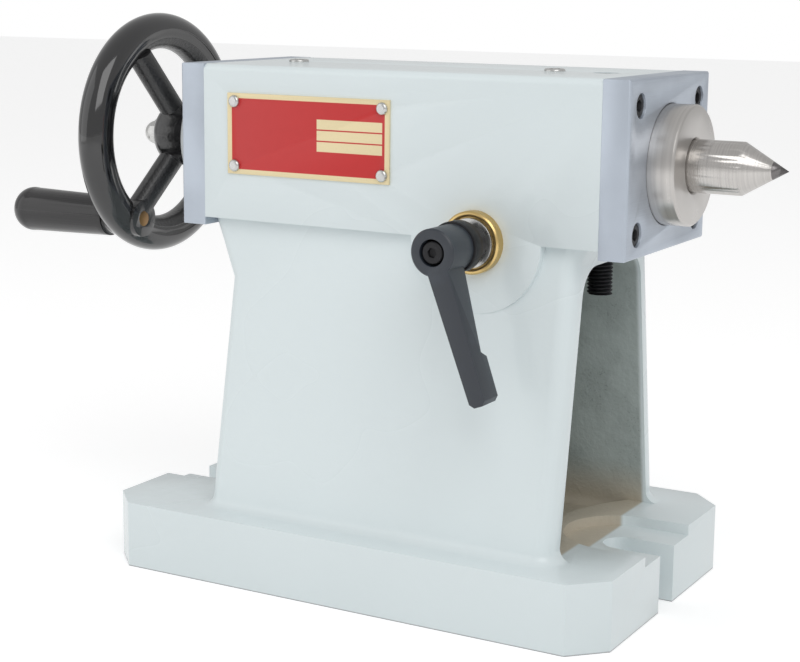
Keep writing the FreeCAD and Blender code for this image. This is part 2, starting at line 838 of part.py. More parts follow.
def make_bearing_cap():
    """The round cap over the feed screw's thrust collar."""
    body = new_body("bearing_cap", (-REAR_FACE, 0, AXIS), (0, 0, 1), 180)
    profile = new_sketch(body, "XZ_Plane")
    chamber_end = 2 * (D.washer_width + D.axial_gap) + D.collar_width
    shaft = D.journal_radius + D.pass_clearance
    outline(profile, [
        (0, D.cap_chamber), (0, D.cap_radius), (D.cap_depth - D.cover_edge, D.cap_radius),
        (D.cap_depth, D.cap_radius - D.cover_edge), (D.cap_depth, shaft),
        (chamber_end, shaft), (chamber_end, D.cap_chamber),
    ])
    revolve(body, profile)
    screw_holes(body, D.cap_depth, CAP_SCREWS, "m5")
    return body


def make_screw_bush():
    """The flanged bronze bush that carries the feed screw in the rear cover."""
    body = new_body("screw_bush", (-D.housing_rear, 0, AXIS))
    profile = new_sketch(body, "XZ_Plane")
    bore = D.journal_radius + D.running_fit
    outline(profile, [
        (-D.rear_cover_depth, bore), (-D.rear_cover_depth, D.bush_radius), (0, D.bush_radius),
        (0, D.bush_flange), (D.bush_flange_width, D.bush_flange), (D.bush_flange_width, bore),
    ])
    revolve(body, profile)
    return body


def make_thrust_washers():
    """Two bronze washers, one on each side of the feed screw's collar."""
    body = new_body("thrust_washers", (-REAR_FACE, 0, AXIS))
    gap = 2 * D.axial_gap
    second = -(D.washer_width + D.collar_width + gap)
    for near in (size(0), second):
        ring = new_sketch(body, "YZ_Plane", near)
        circle(ring, 0, 0, D.cap_chamber - D.seat_fit)
        circle(ring, 0, 0, D.journal_radius + D.running_fit)
        pad(body, ring, D.washer_width, reverse=True)
    return body


# ---------------------------------------------------------------------------------------------------------
# Quill and centre
# ---------------------------------------------------------------------------------------------------------
def make_quill():
    """The hardened quill: Morse taper socket in front, feed nut seat behind, key groove below."""
    body = new_body("quill", (0, 0, AXIS))
    profile = new_sketch(body, "XZ_Plane")
    face = D.quill_face
    socket_end = face - D.socket_length
    mouth = D.socket_mouth
    nut_end = QUILL_REAR + D.nut_length
    clear = D.screw_radius + 0.5
    outline(profile, [
        (QUILL_REAR, D.nut_radius + D.seat_fit), (QUILL_REAR, D.quill_radius - 1),
        (QUILL_REAR + 1, D.quill_radius), (face - 1, D.quill_radius), (face, D.quill_radius - 1),
        (face, D.taper_radius + mouth), (face - mouth, D.taper_radius - mouth * D.taper_slope),
        (socket_end, D.taper_radius - D.socket_length * D.taper_slope), (socket_end, clear),
        (nut_end, clear), (nut_end, D.nut_radius + D.seat_fit),
    ])
    revolve(body, profile)
    key_groove = new_sketch(body, "XY_Plane", -D.quill_radius - 1)
    radius = D.groove_width / 2
    outline(key_groove, [
        (D.groove_rear, radius, radius, "left"), (D.groove_rear, -radius),
        (D.groove_front, -radius, radius, "left"), (D.groove_front, radius),
    ])
    pocket(body, key_groove, D.groove_depth + 1, reverse=True)
    taps = new_sketch(body, "YZ_Plane", QUILL_REAR)
    for y, z in NUT_SCREWS:
        circle(taps, y, z, D.m5_radius + D.thread_fit)
    pocket(body, taps, D.m5_length - (D.nut_flange - D.m5_sink) + 2, reverse=True)
    return body


def make_feed_nut():
    """The flanged bronze nut in the quill's rear end."""
    body = new_body("feed_nut", (QUILL_REAR, 0, AXIS), (0, 0, 1), 180)
    profile = new_sketch(body, "XZ_Plane")
    bore = D.screw_radius + D.running_fit
    depth = D.nut_length - 0.5
    outline(profile, [
        (-depth, bore), (-depth, D.nut_radius), (0, D.nut_radius), (0, D.nut_flange_radius),
        (D.nut_flange - 1, D.nut_flange_radius), (D.nut_flange, D.nut_flange_radius - 1), (D.nut_flange, bore),
    ])
    revolve(body, profile)
    screw_holes(body, D.nut_flange, NUT_SCREWS, "m5")
    return body


def make_dead_centre():
    """The Morse taper centre with its sixty degree point."""
    body = new_body("dead_centre", (0, 0, AXIS))
    profile = new_sketch(body, "XZ_Plane")
    small_end = D.quill_face - D.taper_length
    fit = D.seat_fit
    small = D.taper_radius - D.taper_length * D.taper_slope - fit
    insert_x = D.centre_shoulder + (D.centre_radius - D.tip_radius) / D.cone_slope
    outline(profile, [
        (small_end, 0), (small_end, small - 1.5), (small_end + 1.5, small), (D.quill_face, D.taper_radius - fit),
        (D.centre_start, D.centre_radius), (D.centre_shoulder, D.centre_radius), (insert_x, D.tip_radius),
        (insert_x - D.tip_depth, D.tip_radius), (insert_x - D.tip_depth, 0),
    ])
    revolve(body, profile)
    return body


def make_carbide_tip():
    """The hard tip set into the point of the centre."""
    body = new_body("carbide_tip", (0, 0, AXIS))
    profile = new_sketch(body, "XZ_Plane")
    insert_x = D.centre_shoulder + (D.centre_radius - D.tip_radius) / D.cone_slope
    point = insert_x + (D.tip_radius - D.seat_fit) / D.cone_slope
    radius = D.tip_radius - D.seat_fit
    outline(profile, [(insert_x - D.tip_depth, 0), (insert_x - D.tip_depth, radius), (insert_x, radius), (point, 0)])
    revolve(body, profile)
    return body


def make_quill_key_screw():
    """The screw whose dog point keeps the quill from turning."""
    body = new_body("quill_key_screw", (D.key_screw_x, 0, 0))
    profile = new_sketch(body, "XZ_Plane")
    top = AXIS - D.quill_radius - D.pass_clearance
    tip = AXIS - D.quill_radius + D.groove_depth - 2 * D.pass_clearance
    dog = D.groove_width / 2 - D.running_fit
    low = D.key_screw_bottom
    radius = D.key_screw_radius
    outline(profile, [
        (0, low), (radius - 1, low), (radius, low + 1), (radius, top), (dog, top),
        (dog, tip - 0.5), (dog - 0.5, tip), (0, tip),
    ])
    revolve(body, profile, "V_Axis")
    socket = new_sketch(body, "XY_Plane", low)
    hexagon(socket, 0, 0, D.key_screw_radius)
    pocket(body, socket, D.key_screw_radius, reverse=True)
    return body


# ---------------------------------------------------------------------------------------------------------
# Feed screw and handwheel
# ---------------------------------------------------------------------------------------------------------
def make_feed_screw():
    """The feed screw with its thrust collar, wheel seat and end stud."""
    body = new_body("feed_screw", (0, 0, AXIS), (1, 0, 0), D.wheel_phase)
    profile = new_sketch(body, "XZ_Plane")
    relief = D.housing_rear - D.bush_flange_width - 2
    outline(profile, [
        (D.screw_nose, 0), (D.screw_nose, D.nose_radius - 1), (D.screw_nose - 1, D.nose_radius),
        (D.screw_thread_end, D.nose_radius), (D.screw_thread_end, D.screw_radius - 1),
        (D.screw_thread_end - 1, D.screw_radius), (-relief, D.screw_radius), (-relief, D.journal_radius),
        (-COLLAR_START, D.journal_radius), (-COLLAR_START, D.collar_radius), (-COLLAR_END, D.collar_radius),
        (-COLLAR_END, D.journal_radius), (-D.hub_start, D.journal_radius), (-D.hub_start, D.seat_radius),
        (-D.hub_end + 1, D.seat_radius), (-D.hub_end + 1, D.stud_radius), (-D.stud_end, D.stud_radius),
        (-D.stud_end, 0),
    ])
    revolve(body, profile)
    keyway = new_sketch(body, "XY_Plane", D.seat_radius + 1)
    half = D.key_width / 2
    box_outline(keyway, -D.key_start - D.key_length, -D.key_start, -half, half)
    pocket(body, keyway, half + 1 + D.seat_fit)
    return body


def make_wheel_key():
    """The feather key between feed screw and handwheel."""
    body = new_body("wheel_key", (0, 0, AXIS), (1, 0, 0), D.wheel_phase)
    sketch = new_sketch(body, "XY_Plane", D.seat_radius - D.key_width / 2)
    half = D.key_width / 2 - D.seat_fit
    box_outline(sketch, -D.key_start - D.key_length + D.seat_fit, -D.key_start - D.seat_fit, -half, half)
    pad(body, sketch, D.key_width)
    return body


def make_handwheel():
    """The dished iron handwheel with three round spokes and a boss for the revolving handle."""
    body = new_body("handwheel", (0, 0, AXIS), (1, 0, 0), D.wheel_phase)
    hub = new_sketch(body, "XZ_Plane")
    bore = D.seat_radius + D.seat_fit
    nose_round = D.hub_end - D.hub_shoulder
    outline(hub, [
        (-D.hub_start, bore), (-D.hub_start, D.hub_radius - 1), (-D.hub_start - 1, D.hub_radius),
        (-D.hub_shoulder, D.hub_radius, nose_round + 1, "left"), (-D.hub_end, D.hub_nose), (-D.hub_end, bore),
    ])
    revolve(body, hub)
    root = new_sketch(body, "XY_Plane", D.spoke_root)
    circle(root, -D.spoke_root_x, 0, D.spoke_radius)
    tip = new_sketch(body, "XY_Plane", D.spoke_tip)
    circle(tip, -D.spoke_tip_x, 0, D.spoke_radius)
    spoke = add(body, "AdditiveLoft", root)
    spoke.Sections = [tip]
    spoke.Ruled = True
    doc.recompute()
    polar(body, spoke, "X_Axis", D.spoke_count)
    rim = new_sketch(body, "XZ_Plane")
    r = D.rim_section
    outer = D.rim_radius + D.rim_stretch / 2
    inner = D.rim_radius - D.rim_stretch / 2
    cast = r - D.rim_step
    outline(rim, [
        (-D.rim_x + r, outer, r, "left"), (-D.rim_x - r, outer), (-D.rim_x - cast, outer),
        (-D.rim_x - cast, inner, cast, "left"), (-D.rim_x + cast, inner), (-D.rim_x + cast, outer),
    ])
    revolve(body, rim)
    boss = new_sketch(body, "YZ_Plane", -D.handle_boss_rear)
    circle(boss, 0, D.handle_circle, D.handle_boss)
    pad(body, boss, D.handle_boss_front - D.handle_boss_rear, reverse=True)
    hole = new_sketch(body, "YZ_Plane", -D.handle_boss_rear)
    circle(hole, 0, D.handle_circle, D.bolt_shank + D.thread_fit)
    pocket(body, hole, D.handle_boss_front - D.handle_boss_rear)
    clean = new_sketch(body, "YZ_Plane", -D.hub_start)
    circle(clean, 0, 0, bore)
    pocket(body, clean, D.hub_end - D.hub_start)
    keyway = new_sketch(body, "YZ_Plane", -D.hub_start)
    half = D.key_width / 2
    box_outline(keyway, -half, half, 0, D.seat_radius + half + D.pass_clearance)
    pocket(body, keyway, D.key_start + D.key_length - D.hub_start)
    return body


def make_wheel_washer():
    """The washer under the handwheel's nut."""
    body = new_body("wheel_washer", (-D.hub_end, 0, AXIS))
    ring = new_sketch(body, "YZ_Plane")
    circle(ring, 0, 0, D.wheel_washer_radius)
    circle(ring, 0, 0, D.stud_radius + D.pass_clearance)
    pad(body, ring, D.wheel_washer_width, reverse=True)
    return body


def make_wheel_nut():
    """The domed nut that holds the handwheel."""
    body = new_body("wheel_nut", (-D.hub_end - D.wheel_washer_width, 0, AXIS), (0, 0, 1), 180)
    prism = new_sketch(body, "YZ_Plane")
    hexagon(prism, 0, 0, D.wheel_nut_width)
    pad(body, prism, D.wheel_nut_height)
    dome = new_sketch(body, "XZ_Plane")
    outline(dome, [
        (D.wheel_nut_height - 1, 0), (D.wheel_nut_height - 1, D.wheel_nut_dome),
        (D.wheel_nut_height, D.wheel_nut_dome, D.wheel_nut_dome, "right"),
        (D.wheel_nut_height + D.wheel_nut_dome, 0),
    ])
    revolve(body, dome)
    hole = new_sketch(body, "YZ_Plane")
    circle(hole, 0, 0, D.stud_radius + D.thread_fit)
    pocket(body, hole, D.stud_end - D.hub_end - D.wheel_washer_width + 1, reverse=True)
    return body


def make_handle_bolt():
    """The shoulder bolt on which the handle turns."""
    body = new_body("handle_bolt", (0, 0, AXIS), (1, 0, 0), D.wheel_phase)
    profile = new_sketch(body, "XZ_Plane", up=D.handle_circle)
    head_start = D.grip_end - D.bolt_head_height - 3
    outline(profile, [
        (-D.handle_boss_rear, 0), (-D.handle_boss_rear, D.bolt_shank), (-D.handle_boss_front, D.bolt_shank),
        (-D.handle_boss_front, D.bolt_shoulder), (-head_start, D.bolt_shoulder), (-head_start, D.bolt_head),
        (-head_start - D.bolt_head_height, D.bolt_head), (-head_start - D.bolt_head_height, 0),
    ])
    revolve(body, profile)
    slot = new_sketch(body, "YZ_Plane", -head_start - D.bolt_head_height, up=D.handle_circle)
    box_outline(slot, -D.bolt_head - 1, D.bolt_head + 1, -0.8, 0.8)
    pocket(body, slot, 1.8, reverse=True)
    return body


def make_handle_grip():
    """The revolving plastic handle."""
    body = new_body("handle_grip", (0, 0, AXIS), (1, 0, 0), D.wheel_phase)
    profile = new_sketch(body, "XZ_Plane", up=D.handle_circle)
    bore = D.bolt_shoulder + D.running_fit + 0.05
    well = D.bolt_head + D.pass_clearance
    well_floor = D.grip_end - D.bolt_head_height - 3 - D.pass_clearance
    outline(profile, [
        (-D.grip_start, bore), (-D.grip_start, D.grip_root_radius - 1.5, 1.5, "right"),
        (-D.grip_start - 1.5, D.grip_root_radius), (-D.grip_end + D.grip_dome, D.grip_radius, D.grip_dome, "left"),
        (-D.grip_end, D.grip_radius - D.grip_dome * 0.4), (-D.grip_end, well), (-well_floor, well), (-well_floor, bore),
    ])
    revolve(body, profile)
    return body


# ---------------------------------------------------------------------------------------------------------
# Quill clamp
# ---------------------------------------------------------------------------------------------------------
CLAMP_PLACE = (D.clamp_x, 0, CLAMP_Z)


def scallop(body):
    """The hollow of a clamp sleeve that grips the quill."""
    sketch = new_sketch(body, "YZ_Plane")
    circle(sketch, 0, D.clamp_drop, BORE_RADIUS)
    pocket(body, sketch, 4 * D.sleeve_radius, middle=True)


def make_clamp_sleeve_near():
    """The brass sleeve under the lever, dished at its outer end."""
    body = new_body("clamp_sleeve_near", CLAMP_PLACE)
    profile = new_sketch(body, "XY_Plane")
    face = NEAR_FACE + D.sleeve_proud
    bore = D.clamp_rod_radius + D.pass_clearance
    dish = D.sleeve_radius - D.sleeve_rim
    outline(profile, [
        (bore, -DISH_FLOOR), (dish - 0.8, -DISH_FLOOR), (dish, -face), (D.sleeve_radius - 0.8, -face),
        (D.sleeve_radius, -face + 0.8), (D.sleeve_radius, -D.sleeve_gap), (bore, -D.sleeve_gap),
    ])
    revolve(body, profile, "V_Axis")
    scallop(body)
    return body


def make_clamp_sleeve_far():
    """The tapped brass sleeve on the far side."""
    body = new_body("clamp_sleeve_far", CLAMP_PLACE)
    profile = new_sketch(body, "XY_Plane")
    face = NEAR_FACE - D.sleeve_sunk
    bore = D.clamp_rod_radius + D.thread_fit
    outline(profile, [
        (bore, D.sleeve_gap), (D.sleeve_radius, D.sleeve_gap), (D.sleeve_radius, face - 1),
        (D.sleeve_radius - 1, face), (bore, face),
    ])
    revolve(body, profile, "V_Axis")
    scallop(body)
    return body


def make_clamp_washer():
    """The steel washer in the dish of the near sleeve."""
    body = new_body("clamp_washer", CLAMP_PLACE)
    ring = new_sketch(body, "XZ_Plane", DISH_FLOOR)
    circle(ring, 0, 0, D.clamp_washer_radius)
    circle(ring, 0, 0, D.clamp_rod_radius + D.pass_clearance)
    pad(body, ring, D.clamp_washer_width)
    return body


def make_clamp_stud():
    """The clamping stud: rod, flanged insert with its splined head, and the tapped hole of the lever's screw."""
    body = new_body("clamp_stud", CLAMP_PLACE, (0, 1, 0), D.lever_phase)
    profile = new_sketch(body, "XY_Plane")
    outline(profile, [
        (0, D.clamp_rod_end), (D.clamp_rod_radius - 1, D.clamp_rod_end),
        (D.clamp_rod_radius, D.clamp_rod_end - 1), (D.clamp_rod_radius, -INSERT_FACE),
        (D.insert_neck, -INSERT_FACE), (D.insert_neck, -FLANGE_START), (D.insert_flange, -FLANGE_START),
        (D.insert_flange, -FLANGE_END), (D.spline_root, -FLANGE_END), (D.spline_root, -SPLINE_END),
        (D.pilot_radius, -SPLINE_END), (D.pilot_radius, -PILOT_END), (0, -PILOT_END),
    ])
    revolve(body, profile, "V_Axis")
    tooth = new_sketch(body, "XZ_Plane", FLANGE_END)
    half = D.spline_tooth
    tip = D.spline_root + D.spline_tooth
    outline(tooth, [(-half, D.spline_root - 0.5), (half, D.spline_root - 0.5), (half / 2, tip), (-half / 2, tip)])
    polar(body, pad(body, tooth, D.spline_length), "Y_Axis", D.spline_count)
    hole = new_sketch(body, "XZ_Plane", PILOT_END)
    circle(hole, 0, 0, D.lever_screw_radius + D.thread_fit)
    pocket(body, hole, PILOT_END - FLANGE_START)
    return body


def make_lever_screw():
    """The screw that keeps the lever and its spring on the insert."""
    head_top = LEVER_FACE - D.pass_clearance
    body = new_body("lever_screw", CLAMP_PLACE, (0, 1, 0), D.lever_phase)
    profile = new_sketch(body, "XY_Plane")
    under = head_top - D.lever_screw_head_height
    tail = FLANGE_START + 1
    outline(profile, [
        (0, -tail), (D.lever_screw_radius, -tail), (D.lever_screw_radius, -under), (D.lever_screw_head, -under),
        (D.lever_screw_head, -head_top + 0.6), (D.lever_screw_head - 0.6, -head_top), (0, -head_top),
    ])
    revolve(body, profile, "V_Axis")
    socket = new_sketch(body, "XZ_Plane", head_top)
    hexagon(socket, 0, 0, D.m5_socket)
    pocket(body, socket, D.lever_screw_head_height - 0.7)
    return body


def make_clamping_lever():
    """The die-cast lever: round hub, tapering arm and raised thumb rest."""
    body = new_body("clamping_lever", CLAMP_PLACE, (0, 1, 0), D.lever_phase)
    hub = new_sketch(body, "XY_Plane")
    radius = D.lever_hub_radius
    outline(hub, [
        (0, -LEVER_FOOT), (radius, -LEVER_FOOT), (radius, -LEVER_FACE + 0.8), (radius - 0.8, -LEVER_FACE), (0, -LEVER_FACE),
    ])
    revolve(body, hub, "V_Axis")
    arm = new_sketch(body, "XZ_Plane", LEVER_FACE)
    root = D.arm_root_width / 2
    tip = D.arm_tip_width / 2
    outline(arm, [(-root, 0), (-tip, 2 - D.arm_length), (2 - tip, -D.arm_length), (tip - 2, -D.arm_length),
                  (tip, 2 - D.arm_length), (root, 0)])
    pad(body, arm, D.arm_root_depth, reverse=True)
    back = new_sketch(body, "YZ_Plane")
    thumb = D.thumb_length - D.arm_length
    thumb_y = D.thumb_depth - LEVER_FACE
    tip_y = D.arm_tip_depth - LEVER_FACE
    root_y = D.arm_root_depth - LEVER_FACE
    outline(back, [
        (root_y, -radius), (tip_y, thumb + 1.5), (thumb_y, thumb - 1), (thumb_y, -D.arm_length - 1),
        (root_y + 2, -D.arm_length - 1), (root_y + 2, -radius),
    ])
    pocket(body, back, 4 * radius, middle=True)
    well = new_sketch(body, "XZ_Plane", LEVER_FACE)
    circle(well, 0, 0, D.lever_well)
    well_floor = LEVER_FOOT + D.spline_length + D.lever_web
    pocket(body, well, LEVER_FACE - well_floor)
    through = new_sketch(body, "XZ_Plane", LEVER_FACE)
    circle(through, 0, 0, D.pilot_radius + D.running_fit)
    pocket(body, through, D.lever_hub_length)
    seat = new_sketch(body, "XZ_Plane", LEVER_FOOT)
    circle(seat, 0, 0, D.spline_root + 0.1)
    pocket(body, seat, D.spline_length + 0.2, reverse=True)
    notch = new_sketch(body, "XZ_Plane", LEVER_FOOT)
    half = D.spline_tooth + 0.12
    tip = D.spline_root + D.spline_tooth + 0.12
    outline(notch, [(-half, D.spline_root - 0.5), (half, D.spline_root - 0.5), (half / 2 + 0.1, tip), (-half / 2 - 0.1, tip)])
    polar(body, pocket(body, notch, D.spline_length + 0.2, reverse=True), "Y_Axis", D.spline_count)
    return body


def make_lever_spring():
    """The coil spring under the lever screw's head."""
    spring = doc.addObject("Part::Feature", "lever_spring")
    spring.Label = "lever_spring"
    wire = D.spring_wire.number
    start = (LEVER_FOOT + D.spline_length + D.lever_web).number + wire
    end = (LEVER_FACE - D.pass_clearance - D.lever_screw_head_height).number - wire
    pitch = (end - start) / D.spring_turns.number
    helix = Part.makeHelix(pitch, end - start, D.spring_radius.number)
    ring = Part.Wire(Part.Circle(Vector(D.spring_radius.number, 0, 0), Vector(0, 1, 0), wire).toShape())
    spring.Shape = Part.Wire(helix).makePipeShell([ring], True, True)
    turn = FreeCAD.Rotation(Vector(1, 0, 0), 90)
    spring.Placement = FreeCAD.Placement(Vector(D.clamp_x.number, -start, CLAMP_Z.number), turn)
    return spring


# ---------------------------------------------------------------------------------------------------------
# Plate, oilers, plug
# ---------------------------------------------------------------------------------------------------------
def make_nameplate():
    """The plate on the near side."""
    body = new_body("nameplate")
    plate = new_sketch(body, "XZ_Plane", NEAR_FACE)
    box_outline(plate, D.plate_rear, D.plate_front, D.plate_low, D.plate_high)
    for x, z in PLATE_RIVETS:
        circle(plate, x, z, D.rivet_shank + D.seat_fit)
    pad(body, plate, D.plate_thickness)
    return body


def make_nameplate_rivets():
    """Four domed rivets."""
    body = new_body("nameplate_rivets")
    face = NEAR_FACE + D.plate_thickness
    heads = new_sketch(body, "XZ_Plane", face)
    shanks = new_sketch(body, "XZ_Plane", face)
    for x, z in PLATE_RIVETS:
        circle(heads, x, z, D.rivet_head)
        circle(shanks, x, z, D.rivet_shank)
    pad(body, heads, D.rivet_rise)
    pad(body, shanks, D.rivet_length, reverse=True)
    dress(body, "Fillet", D.rivet_rise - 0.1, dict(y=at(-face - D.rivet_rise)))
    return body


def make_ball_oilers():
    """Two pressed-in oiler bodies on top of the housing."""
    body = new_body("ball_oilers", (0, 0, HOUSING_TOP))
    for half, radius, depth in ((D.oiler_rise, D.oiler_flange, D.oiler_rise), (0, D.oiler_radius, D.oiler_length)):
        sketch = new_sketch(body, "XY_Plane", half)
        for side in (1, -1):
            circle(sketch, side * D.oiler_x, 0, radius)
        pad(body, sketch, depth, reverse=True)
    dress(body, "Fillet", D.oiler_rise - 0.2, dict(z=at(D.oiler_rise)))
    wells = new_sketch(body, "XY_Plane", D.oiler_rise)
    mouths = new_sketch(body, "XY_Plane", D.oiler_rise)
    for side in (1, -1):
        circle(wells, side * D.oiler_x, 0, D.ball_radius + 0.1)
        circle(mouths, side * D.oiler_x, 0, D.oiler_hole)
    pocket(body, wells, D.oiler_rise + D.oiler_length - 1.5)
    pocket(body, mouths, D.oiler_rise + D.oiler_length)
    return body


def make_oiler_ball(label, side):
    """One oiler's ball, just proud of its seat."""
    ball = doc.addObject("Part::Sphere", label)
    ball.Label = label
    bind(ball, "Radius", D.ball_radius)
    bind(ball, "Placement.Base.x", side * D.oiler_x)
    bind(ball, "Placement.Base.z", HOUSING_TOP + D.oiler_rise - D.ball_radius)
    return ball


def make_top_plug():
    """The socket plug that closes the drilled-through hole above the key screw."""
    body = new_body("top_plug", (D.key_screw_x, 0, HOUSING_TOP - 0.5))
    sketch = new_sketch(body, "XY_Plane")
    circle(sketch, 0, 0, D.key_screw_radius)
    pad(body, sketch, D.plug_length, reverse=True)
    socket = new_sketch(body, "XY_Plane")
    hexagon(socket, 0, 0, D.key_screw_radius)
    pocket(body, socket, D.plug_length / 2)
    return body


# ---------------------------------------------------------------------------------------------------------
# Assembly
# ---------------------------------------------------------------------------------------------------------
def make_screw_groups():
    """The socket head screws of both covers, the bearing cap and the feed nut."""
    front = (FRONT_FACE - D.m6_sink + D.m6_head_height, 0, AXIS)
    rear = (-REAR_FACE + D.m6_sink - D.m6_head_height, 0, AXIS)
    cap = (-CAP_FACE + D.m5_sink - D.m5_head_height, 0, AXIS)
    nut = (QUILL_REAR - D.nut_flange + D.m5_sink - D.m5_head_height, 0, AXIS)
    return [
        socket_screws("front_cover_screws", COVER_SCREWS, "m6", front),
        socket_screws("rear_cover_screws", COVER_SCREWS, "m6", rear, 180),
        socket_screws("bearing_cap_screws", CAP_SCREWS, "m5", cap, 180),
        socket_screws("feed_nut_screws", NUT_SCREWS, "m5", nut, 180),
    ]


def make_parts():
    """Every sub-part of the tailstock."""
    return [
        make_body_casting(), make_front_cover(), make_quill_wiper(), make_rear_cover(), make_bearing_cap(),
        make_screw_bush(), make_thrust_washers(), *make_screw_groups(), make_quill_key_screw(), make_top_plug(),
        make_nameplate(), make_nameplate_rivets(), make_ball_oilers(),
        make_oiler_ball("oiler_ball_front", 1), make_oiler_ball("oiler_ball_rear", -1),
        make_quill(), make_feed_nut(), make_dead_centre(), make_carbide_tip(),
        make_feed_screw(), make_handwheel(), make_wheel_key(), make_wheel_washer(), make_wheel_nut(),
        make_handle_bolt(), make_handle_grip(),
        make_clamp_sleeve_near(), make_clamp_sleeve_far(), make_clamp_washer(), make_clamp_stud(),
        make_lever_screw(), make_lever_spring(), make_clamping_lever(),
    ]


def check(parts):
    """Stops if any object failed or any sub-part has no valid shape."""
    for item in doc.Objects:
        if "Invalid" in item.State or "Error" in item.State:
            raise RuntimeError(f"{item.Label} failed: {item.State}")
    for item in parts:
        if item.Shape.isNull() or not item.Shape.isValid():
            raise RuntimeError(f"{item.Label} has no valid shape")


def main():
    parts = make_parts()
    doc.recompute()
    check(parts)
    os.makedirs("parts", exist_ok=True)
    for item in parts:
        item.Shape.exportStep(f"parts/{item.Label}.step")
        print(item.Label, len(item.Shape.Solids), round(item.Shape.Volume, 1))


main()
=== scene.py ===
"""Dresses the lathe tailstock: castings with paint-softened edges, ground plates, turned steel, threads and print.

Metres, in the frame of the CAD model: +X along the spindle to the centre's point, -Y towards the lever, +Z up.
"""
import json
import math

import bpy
from mathutils import Matrix, Vector


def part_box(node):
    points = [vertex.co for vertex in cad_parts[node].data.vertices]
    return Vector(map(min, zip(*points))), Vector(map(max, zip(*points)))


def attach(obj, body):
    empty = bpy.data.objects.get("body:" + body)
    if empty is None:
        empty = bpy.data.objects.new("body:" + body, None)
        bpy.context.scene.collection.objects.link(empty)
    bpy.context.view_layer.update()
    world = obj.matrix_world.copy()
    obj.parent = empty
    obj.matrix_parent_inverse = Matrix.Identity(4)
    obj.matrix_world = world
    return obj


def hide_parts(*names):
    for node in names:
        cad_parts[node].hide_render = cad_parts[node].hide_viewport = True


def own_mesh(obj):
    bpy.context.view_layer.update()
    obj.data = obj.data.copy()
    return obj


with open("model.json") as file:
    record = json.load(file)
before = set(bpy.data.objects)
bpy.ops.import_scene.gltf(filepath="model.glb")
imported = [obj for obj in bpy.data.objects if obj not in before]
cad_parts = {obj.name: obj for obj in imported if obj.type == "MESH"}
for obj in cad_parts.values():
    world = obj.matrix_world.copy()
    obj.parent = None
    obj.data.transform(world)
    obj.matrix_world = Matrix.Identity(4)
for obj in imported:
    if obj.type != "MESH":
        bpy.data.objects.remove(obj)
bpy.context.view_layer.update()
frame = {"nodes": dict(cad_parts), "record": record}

bl_info = {
    "name": "Lathe Tailstock",
    "version": (1, 0, 0),
    "blender": (4, 5, 0),
    "location": "3D View > Sidebar > Tailstock",
    "description": "Dresses the tailstock's castings, steel pieces and print, and sets the stage",
    "category": "Object",
}

RECORD = frame["record"]
BODY_OF = {node: body for body, nodes in RECORD["behaviour"]["bodies"].items() for node in nodes}

MM = 0.001
CASTING_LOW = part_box("body_casting")[0]
PLATE_LOW, PLATE_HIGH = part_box("nameplate")
QUILL_LOW, QUILL_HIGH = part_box("quill")
SLEEVE_LOW, SLEEVE_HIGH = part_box("clamp_sleeve_near")
KEY_LOW, KEY_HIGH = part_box("quill_key_screw")
SPRING_LOW, SPRING_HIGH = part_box("lever_spring")
LIFT = next(joint["range_m"][1] for joint in RECORD["behaviour"]["joints"] if joint["name"] == "lever_lift")
SPINDLE = (QUILL_LOW + QUILL_HIGH) / 2
CLAMP = (SLEEVE_LOW + SLEEVE_HIGH) / 2
KEY = (KEY_LOW + KEY_HIGH) / 2


# ---------------------------------------------------------------------------------------------------------
# Settings
# ---------------------------------------------------------------------------------------------------------
def length(name, description, default):
    """A property that holds a length."""
    return bpy.props.FloatProperty(name=name, description=description, default=default, unit="LENGTH", precision=5)


def colour(name, description, default):
    """A property that holds a colour."""
    return bpy.props.FloatVectorProperty(
        name=name, description=description, default=default, subtype="COLOR", size=3, min=0, max=1)


def share(name, description, default):
    """A property that holds a share from 0 to 1."""
    return bpy.props.FloatProperty(name=name, description=description, default=default, min=0, max=1, subtype="FACTOR")


class TailstockEdges(bpy.types.PropertyGroup):
    """How far sharp edges are rounded."""
    paint: length("Painted edge", "Rounding of the casting's edges under its paint", 0.9 * MM)
    ground: length("Ground edge", "Rounding of the ground plates' edges", 0.25 * MM)
    turned: length("Turned edge", "Rounding of turned and small pieces' edges", 0.2 * MM)
    lever: length("Lever edge", "Rounding of the die-cast lever's edges", 0.9 * MM)
    thread_pitch: length("Key screw pitch", "Pitch of the key screw's thread", 1.75 * MM)
    thread_depth: length("Key screw depth", "Depth of the key screw's thread", 0.95 * MM)


class TailstockColours(bpy.types.PropertyGroup):
    """Colours of the finishes."""
    enamel: colour("Enamel", "Outer enamel of the casting", (0.74, 0.815, 0.83))
    # Painted shade: the cavity's walls get a darker grey-green than the enamel, standing in for the shade inside the
    # casting.
    shaded_hollow: colour("Hollow", "Thin paint inside the hollow", (0.42, 0.475, 0.46))
    # Painted reflection in shade: the cavity floor is tinted beige for warm light reflected onto it while it lies in
    # shade.
    floor_warm_reflection: colour("Floor", "Yellowed floor of the hollow", (0.50, 0.45, 0.36))
    ground: colour("Ground steel", "Ground plates", (0.50, 0.55, 0.62))
    turned: colour("Turned steel", "Quill and centre", (0.56, 0.54, 0.52))
    black: colour("Black oxide", "Screws and the lever's insert", (0.022, 0.022, 0.024))
    lever: colour("Lever", "Powder-coated lever", (0.022, 0.028, 0.038))
    wheel: colour("Wheel", "Black enamel of the handwheel", (0.010, 0.010, 0.011))
    brass: colour("Brass", "Clamp sleeves", (0.72, 0.52, 0.22))
    plate_red: colour("Plate red", "Printed field of the nameplate", (0.58, 0.025, 0.025))
    plate_cream: colour("Plate cream", "Bare border and fields of the nameplate", (0.80, 0.68, 0.42))


